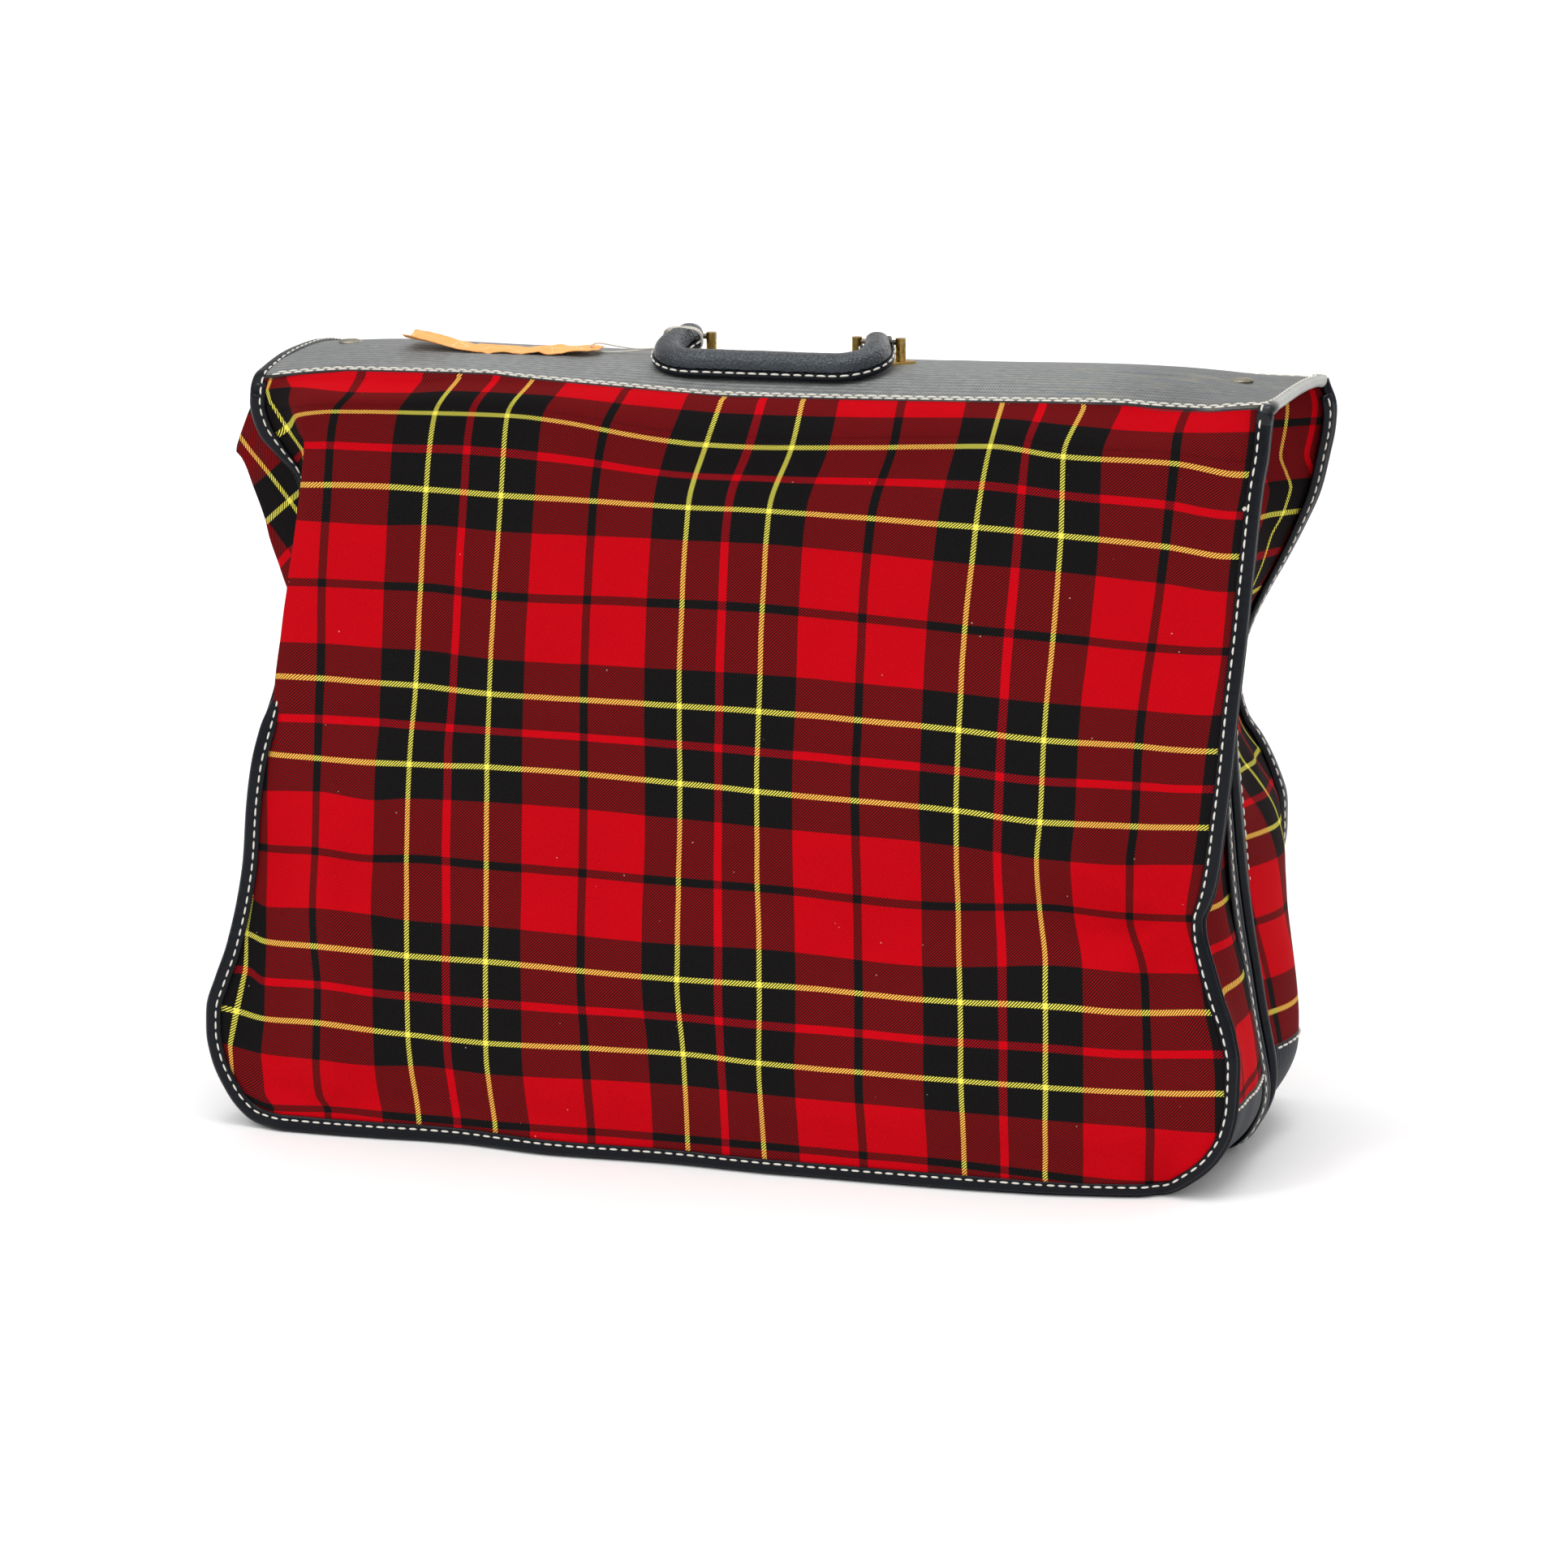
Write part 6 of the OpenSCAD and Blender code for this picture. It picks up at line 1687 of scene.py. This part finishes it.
# two rows of thread along each long edge
sb = Builder()
for sgn in (-1, 1):
    for off, bow, ph, lift in ((-0.3, 0.25, 0.0, -0.6), (1.55, 0.55, 3.4, -0.2)):
        xs = np.linspace(-293 if sgn < 0 else -298, 298, 500)
        y = np.full(500, sgn * (SP_HALF - off))
        z = spine_z(xs, y)
        line = np.stack([xs, y, z], -1)
        up = np.repeat(A([[0, sgn * 0.28, 0.96]]), 500, 0)
        add_stitches(sb, line, up, pitch=7.0, length=6.6, width=1.15, high=0.7, start=ph, bow=bow * -sgn * 0.9, lift=lift + 0.15)
sb.make("Spine_edge_stitches", THREAD, body="spine", slot="string")


def end_binding(right):
    """One bead and flange over the spine's end, running on from the two outer bindings."""
    sx = 1 if right else -1
    f, r = (LOOP_F[-1], LOOP_R[-1]) if right else (LOOP_F[0], LOOP_R[0])
    f2, r2 = (LOOP_F[-4], LOOP_R[-4]) if right else (LOOP_F[3], LOOP_R[3])
    if right:
        ys, xs = [-64.5, -58, -45, -25, 0, 25, 45, 58, 64.5], [298.4, 299.0, 299.8, 300.4, 300.8, 301.6, 302.8, 303.6, 304.0]
        zs = [448.8, 449.2, 449.5, 449.5, 449.1, 448.4, 447.3, 446.3, 445.4]
    else:
        ys, xs = [-62, -55, -43, -27, -11, 5, 21, 37, 52, 63], [-302.2, -301.8, -301.3, -300.6, -300.1, -300.0, -300.5, -301.2, -302.1, -302.7]
        zs = [445.6, 447.4, 449.9, 452.3, 453.4, 453.6, 453.0, 451.4, 448.9, 447.0]
    path = np.concatenate([[f2, f + A([0, 0.15, 0.2])], np.stack([xs, ys, zs], -1), [r + A([0, -0.15, 0.2]), r2]])
    path = smooth_path(path, 130, 2)
    t = tangents(path)
    nrm = np.stack([0 * t[:, 0], -t[:, 2], t[:, 1]], -1)
    nm = "Spine_end_binding_" + ("right" if right else "left")
    binding(nm, path, unit(nrm), A([0, 0, 455.0]) - path, "spine", bead=3.74, flange=6.9, replaces=("spine_end_binding_" + ("right" if right else "left"),),
            stitch=4.2, high0=3.95, high1=3.45, start=6.5, stop=6.5, mat=WORN_BAND if right else BINDING,
            size=(0.82 if right else 1.0) - (0.27 if right else 0.0) * smooth(8, 24, arclen(path)) * smooth(8, 24, arclen(path)[-1] - arclen(path)))
    return path


ENDR, ENDL = end_binding(True), end_binding(False)

def spine_layer(name, down, t, mat, node, half, x_half, inside, slot):
    xs, ys = np.linspace(-x_half, x_half, 120), np.linspace(-half, half, 31)
    XX, YY = np.meshgrid(xs, ys)
    ZZ = spine_z(XX.ravel(), YY.ravel()).reshape(XX.shape) - down
    cloth_sheet(name, np.stack([XX, YY, ZZ], -1), np.stack([XX, YY], -1), t, [mat, inside], flip=-1, body="spine", slot=slot, replaces=(node,),
                held="stretched" if slot == "lining_cloth" else None, rests=["spine_board"])


spine_layer("Spine_board", 1.75, 2.7, BOARD, "spine_board", 64.0, 296.0, BOARD, "fibreboard")
spine_layer("Spine_lining", 4.75, 0.8, LINING, "spine_lining", 65.5, 297.0, LINING, "lining_cloth")


def stud(x, b):
    """A domed head sitting on the cover."""
    r, h = 6.4, 2.3
    rr = A([0.0, 2.6, 4.8, 6.2, 6.9, 7.0, 6.6])
    hh = A([1.75, 1.68, 1.42, 1.0, 0.6, 0.1, -0.9])
    a = np.linspace(0, 2 * math.pi, 40, endpoint=False)
    z0 = float(spine_z(A([x]), A([0.0]))[0])
    P = np.stack([x + rr[1:, None] * np.cos(a), rr[1:, None] * np.sin(a), z0 + hh[1:, None] + 0 * a], -1)
    n0 = b.n
    b.grid(P, np.stack([P[..., 0], P[..., 1]], -1), close_u=True, flip=True)
    b.add([[x, 0, z0 + hh[0]]], [])
    top = b.n - 1
    for i in range(40):
        b.f.append((n0 + i, n0 + (i + 1) % 40, top))
        b.mi.append(0)
    return b


b = Builder()
stud(-269, b)
stud(269, b)
b.make("End_studs", OLD_BRASS, body="spine", slot="aged_brass", replaces=("end_studs",))


# ------------------------------------------------------------------ handle
FOLD_A = math.radians(104)
PIN_Z = 469.5


def handle_world(p):
    p = np.asarray(p, float)
    c, s_ = math.cos(FOLD_A), math.sin(FOLD_A)
    return np.stack([p[..., 0], p[..., 1] * c - p[..., 2] * s_, PIN_Z + p[..., 1] * s_ + p[..., 2] * c], -1)


def handle_dir(d):
    return handle_world(d) - A([0, 0, PIN_Z])


def handle_line(z_start, n):
    half = [(57, -6.0), (57, 0), (57.5, 6), (60, 15)] + [(41.5 + 20 * math.cos(t), 25 + 20 * math.sin(t)) for t in np.radians(np.arange(0, 91, 10))]
    half += [(20, 45)]
    pts = [(x, z) for x, z in half] + [(-x, z) for x, z in reversed(half)]
    p = smooth_path(A([(x, 0, z) for x, z in pts], float), 400, 2)
    k = np.nonzero(p[:, 2] > z_start)[0]
    return resample(p[k[0] : k[-1] + 1], n)


def section_sweep(name, path, prof_fn, mat, uv_scale=1.0, **kw):
    t = tangents(path)
    out = np.cross(t, A([0, 1.0, 0]))
    out = unit(out)
    out = out * np.sign((out * (path - A([0, 0, 12.0]))).sum(1))[:, None]
    s = arclen(path)
    rows = []
    for i in range(len(path)):
        pr = prof_fn(s[i], s[-1] - s[i])
        rows.append(path[i] + pr[:, :1] * out[i] + pr[:, 1:] * A([0, 1.0, 0]))
    P = handle_world(A(rows))
    w = np.linspace(0, 60, P.shape[1])
    uv = np.stack(np.broadcast_arrays(w[None], s[:, None]), -1)
    b = Builder()
    n0, k = b.n, P.shape[1]
    c = P.mean(axis=1)
    nrm = np.cross(P[5, 1] - P[5, 0], P[6, 0] - P[5, 0])
    flip = float((nrm * (P[5, 0] - c[5])).sum()) > 0
    b.grid(P, uv, close_u=True, flip=flip)
    first, last = [n0 + i for i in range(k)], [n0 + (len(path) - 1) * k + i for i in range(k)]
    b.f += [tuple(first) if flip else tuple(reversed(first)), tuple(reversed(last)) if flip else tuple(last)]
    b.mi += [0, 0]
    return b.make(name, mat, body="handle", **kw), out, s


def cushion_profile(a, c):
    e = min(a, c)
    right_end = a < c
    lead = 3.0 if right_end else 6.0
    k = math.sqrt(max(0.0, 1 - (1 - min(e / lead, 1)) ** 2)) * 0.97 + 0.03
    neck = float(smooth(0, 24, e))
    w = (6.9 + 1.9 * neck) * (0.86 + 0.14 * k)
    h = (6.4 + 1.9 * neck) * (0.3 + 0.7 * k)
    h += 0.18 * float(wave_noise(a / 9.0, 1.5)) + 0.1 * float(wave_noise(a / 3.5, 4.5))
    ang = np.linspace(0, math.pi, 25)
    x = w * np.sign(np.cos(ang)) * np.abs(np.cos(ang)) ** 0.86
    y = 1.45 + h * np.sin(ang) ** 0.92
    return np.stack([np.concatenate([x, [-w * 0.8, w * 0.8]]), np.concatenate([y, [1.3, 1.3]])], 1)


HL = handle_line(-5.0, 190)
HL = resample(HL[(HL[:, 0] < 0) | (HL[:, 2] > 0.6)], 190)
cushion, _, _ = section_sweep("Handle_cushion", HL, cushion_profile, LEATHER, slot="handle_leather", replaces=("handle_grip",))
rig.padded(cushion, fill=0.8)


def flange_profile(a, c):
    w = 10.3 + 0.1 * float(wave_noise(a / 14.0, 7.5))
    return A([(w, -1.5), (w - 0.1, -0.5), (w - 0.8, 0.1), (7.0, 0.35), (-7.0, 0.35), (-w + 0.8, 0.1), (-w + 0.1, -0.5), (-w, -1.5), (-w + 0.5, -2.9), (-8.0, -3.45), (8.0, -3.45), (w - 0.5, -2.9)])


HB = handle_line(5.6, 150)
backing, out_b, s_b = section_sweep("Handle_backing", HB, flange_profile, BINDING, slot="handle_leather", replaces=("handle_backing",))
welt = Builder()
for sg in (1, -1):
    path = handle_world(HB + out_b * sg * 9.0 + A([0, 0.55, 0]))
    t = tangents(path)
    n_ = np.repeat(handle_dir(A([[0, 1.0, 0]])), len(path), 0)
    add_sweep(welt, path, unit(np.cross(t, n_)), n_, circle(0.85, 10))
welt.make("Handle_welt", BINDING, body="handle", slot="binding_vinyl", replaces=("handle_welt",))
sb = Builder()
n_ = np.repeat(handle_dir(A([[0, 1.0, 0]])), len(HB), 0)
side = handle_dir(out_b)
add_stitches(sb, handle_world(HB + out_b * 9.75 + A([0, 0.15, 0])) + side * 0.0, unit(n_ + side * 0.7), pitch=6.8, length=5.5, width=1.1, high=0.65, start=1.0, lift=0.15)
add_stitches(sb, handle_world(HB - out_b * 9.75 + A([0, 0.15, 0])), unit(n_ - side * 0.7), pitch=6.8, length=5.5, width=1.1, high=0.65, start=1.0, lift=0.15)
sb.make("Handle_stitches", THREAD, body="handle", slot="string")


# two turns of string about the neck of the left arm
b = Builder()
for z_, da in ((8.0, 0.0), (9.5, 0.25)):
    a_ = np.linspace(0, 2 * math.pi, 90)
    ex = 11.3 + da
    ey = 7.0
    x = ex * np.sign(np.cos(a_)) * np.abs(np.cos(a_)) ** 0.62
    y = ey * np.sign(np.sin(a_)) * np.abs(np.sin(a_)) ** 0.62
    zz = z_ + 0.7 * np.sin(a_ + 0.6) + da
    ring = handle_world(np.stack([-58.3 + x, 1.9 + y, zz], -1))
    twisted(b, ring, 0.36, 0.3, 3.2)
b.make("String_loop", THREAD, body="handle", slot="string", replaces=("tag_loop",))

# ------------------------------------------------------------------ tag
TAG_LINE = A([(-112, 458.8), (-122, 458.8), (-134, 457.6), (-160, 457.3), (-178, 457.6), (-196, 459.5), (-214, 462.5), (-228, 464.5)], float)


def luggage_tag():
    ls = resample(np.stack([TAG_LINE[:, 0], 0 * TAG_LINE[:, 0], TAG_LINE[:, 1]], 1), 150)
    s = arclen(ls)
    w = np.linspace(-1, 1, 37)
    SS, WW = np.meshgrid(s, w, indexing="ij")
    rag = 0.45 * wave_noise(s / 3.1, s * 0 + 1) + 0.35 * wave_noise(s / 1.3, s * 0 + 5)
    half = 12.0 + rag
    # the end with the hole is cut to a blunt point
    half = half * (1 - 0.34 * (1 - smooth(0, 7, s)))
    Y = WW * half[:, None]
    X = np.repeat(ls[:, 0][:, None], 37, 1) + 0.9 * wave_noise(WW * 6 + 3, SS / 40) * (SS > s[-1] - 2.2) * 1.0
    Z = np.repeat(ls[:, 2][:, None], 37, 1)
    crease = -1.1 * np.abs(WW) * hump(SS, 46, 5) + 0.9 * hump(SS + WW * 5, 30, 2.6) - 0.8 * hump(SS - WW * 7, 72, 2.5)
    curl = 1.8 * smooth(84, 118, SS) * WW**2 + 1.3 * wave_noise(SS / 14 + 2, WW * 1.6 + 3) * smooth(8, 20, SS)
    Z = Z + crease + curl + 0.15 * wave_noise(SS / 3, WW * 6)
    P = tag_world(np.stack([X, Y, Z], -1))
    # a hole for the string
    cx = 0.5 * (X[:-1, :-1] + X[1:, 1:])
    cy = 0.5 * (Y[:-1, :-1] + Y[1:, 1:])
    keep = np.hypot(cx + 117.5, cy) > 1.9
    uv = np.stack([SS, Y], -1)
    return cloth_sheet("Luggage_tag", P, uv, 0.45, [CARD, CARD], keep, flip=-1, body="tag", slot="tag_card", replaces=("luggage_tag",))


tag = luggage_tag()
# ------------------------------------------------------------------ metal parts kept as they are
for nm, mat in (("bracket_plate_left", BRASS), ("bracket_plate_right", BRASS), ("bracket_posts_left", BRASS), ("bracket_posts_right", BRASS),
                ("pivot_pin_left", DARK_STEEL), ("pivot_pin_right", DARK_STEEL), ("post_washers", STEEL), ("end_stud_washers", STEEL),
                ("spine_stay", STEEL), ("handle_core", DARK_STEEL), ("front_zip_slider", BRASS), ("rear_zip_slider", BRASS),
                ("front_zip_pull", BRASS), ("rear_zip_pull", BRASS)):
    o = frame["nodes"][nm]
    o.data.materials.clear()
    o.data.materials.append(mat)
    mod = o.modifiers.new("Edges", "BEVEL")
    mod.width, mod.segments, mod.limit_method, mod.angle_limit = 0.00022, 2, "ANGLE", math.radians(50)

# ------------------------------------------------------------------ light and floor
world = bpy.data.worlds.new("World")
scene.world = world
world.use_nodes = True
world.node_tree.nodes["Background"].inputs[0].default_value = (1, 1, 1, 1)
world.node_tree.nodes["Background"].inputs[1].default_value = 0.63


def sun(name, away, angle, strength):
    """A broad, even source: a soft box far off in the direction away."""
    d = bpy.data.lights.new(name, "SUN")
    d.energy, d.angle = strength, math.radians(angle)
    o = bpy.data.objects.new(name, d)
    o.rotation_euler = (-Vector(away)).to_track_quat("-Z", "Y").to_euler()
    scene.collection.objects.link(o)
    return o


sun("Key", (-0.5, -1.0, 1.4), 80, 1.08)
sun("Top", (0.05, 0.0, 1.0), 30, 0.95)
sun("Back", (0.5, 1.2, 0.75), 55, 0.55)
sun("Glint_left", (-0.7, -0.9, 1.5), 7, 0.22)
sun("Glint_right", (1.3, -0.35, 0.9), 7, 0.16)

floor_mat = Mat("Floor")
_n = floor_mat.noise(floor_mat.obj(), 3.0, 3.0)
floor_mat.set(Base_Color=floor_mat.mix(_n, (0.955, 0.955, 0.958), (0.972, 0.972, 0.975)), Roughness=0.6, Specular_IOR_Level=0.15)
me = bpy.data.meshes.new("Floor")
me.from_pydata([(-14, -6, 0), (14, -6, 0), (14, 22, 0), (-14, 22, 0)], [], [(0, 1, 2, 3)])
me.materials.append(floor_mat.mat)
floor = bpy.data.objects.new("Floor", me)
scene.collection.objects.link(floor)
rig.stage(floor)

now_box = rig.bounds()
json.dump({"cad": [list(map(float, p)) for p in cad_box], "visual": [list(map(float, p)) for p in now_box]}, open("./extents.json", "w"))
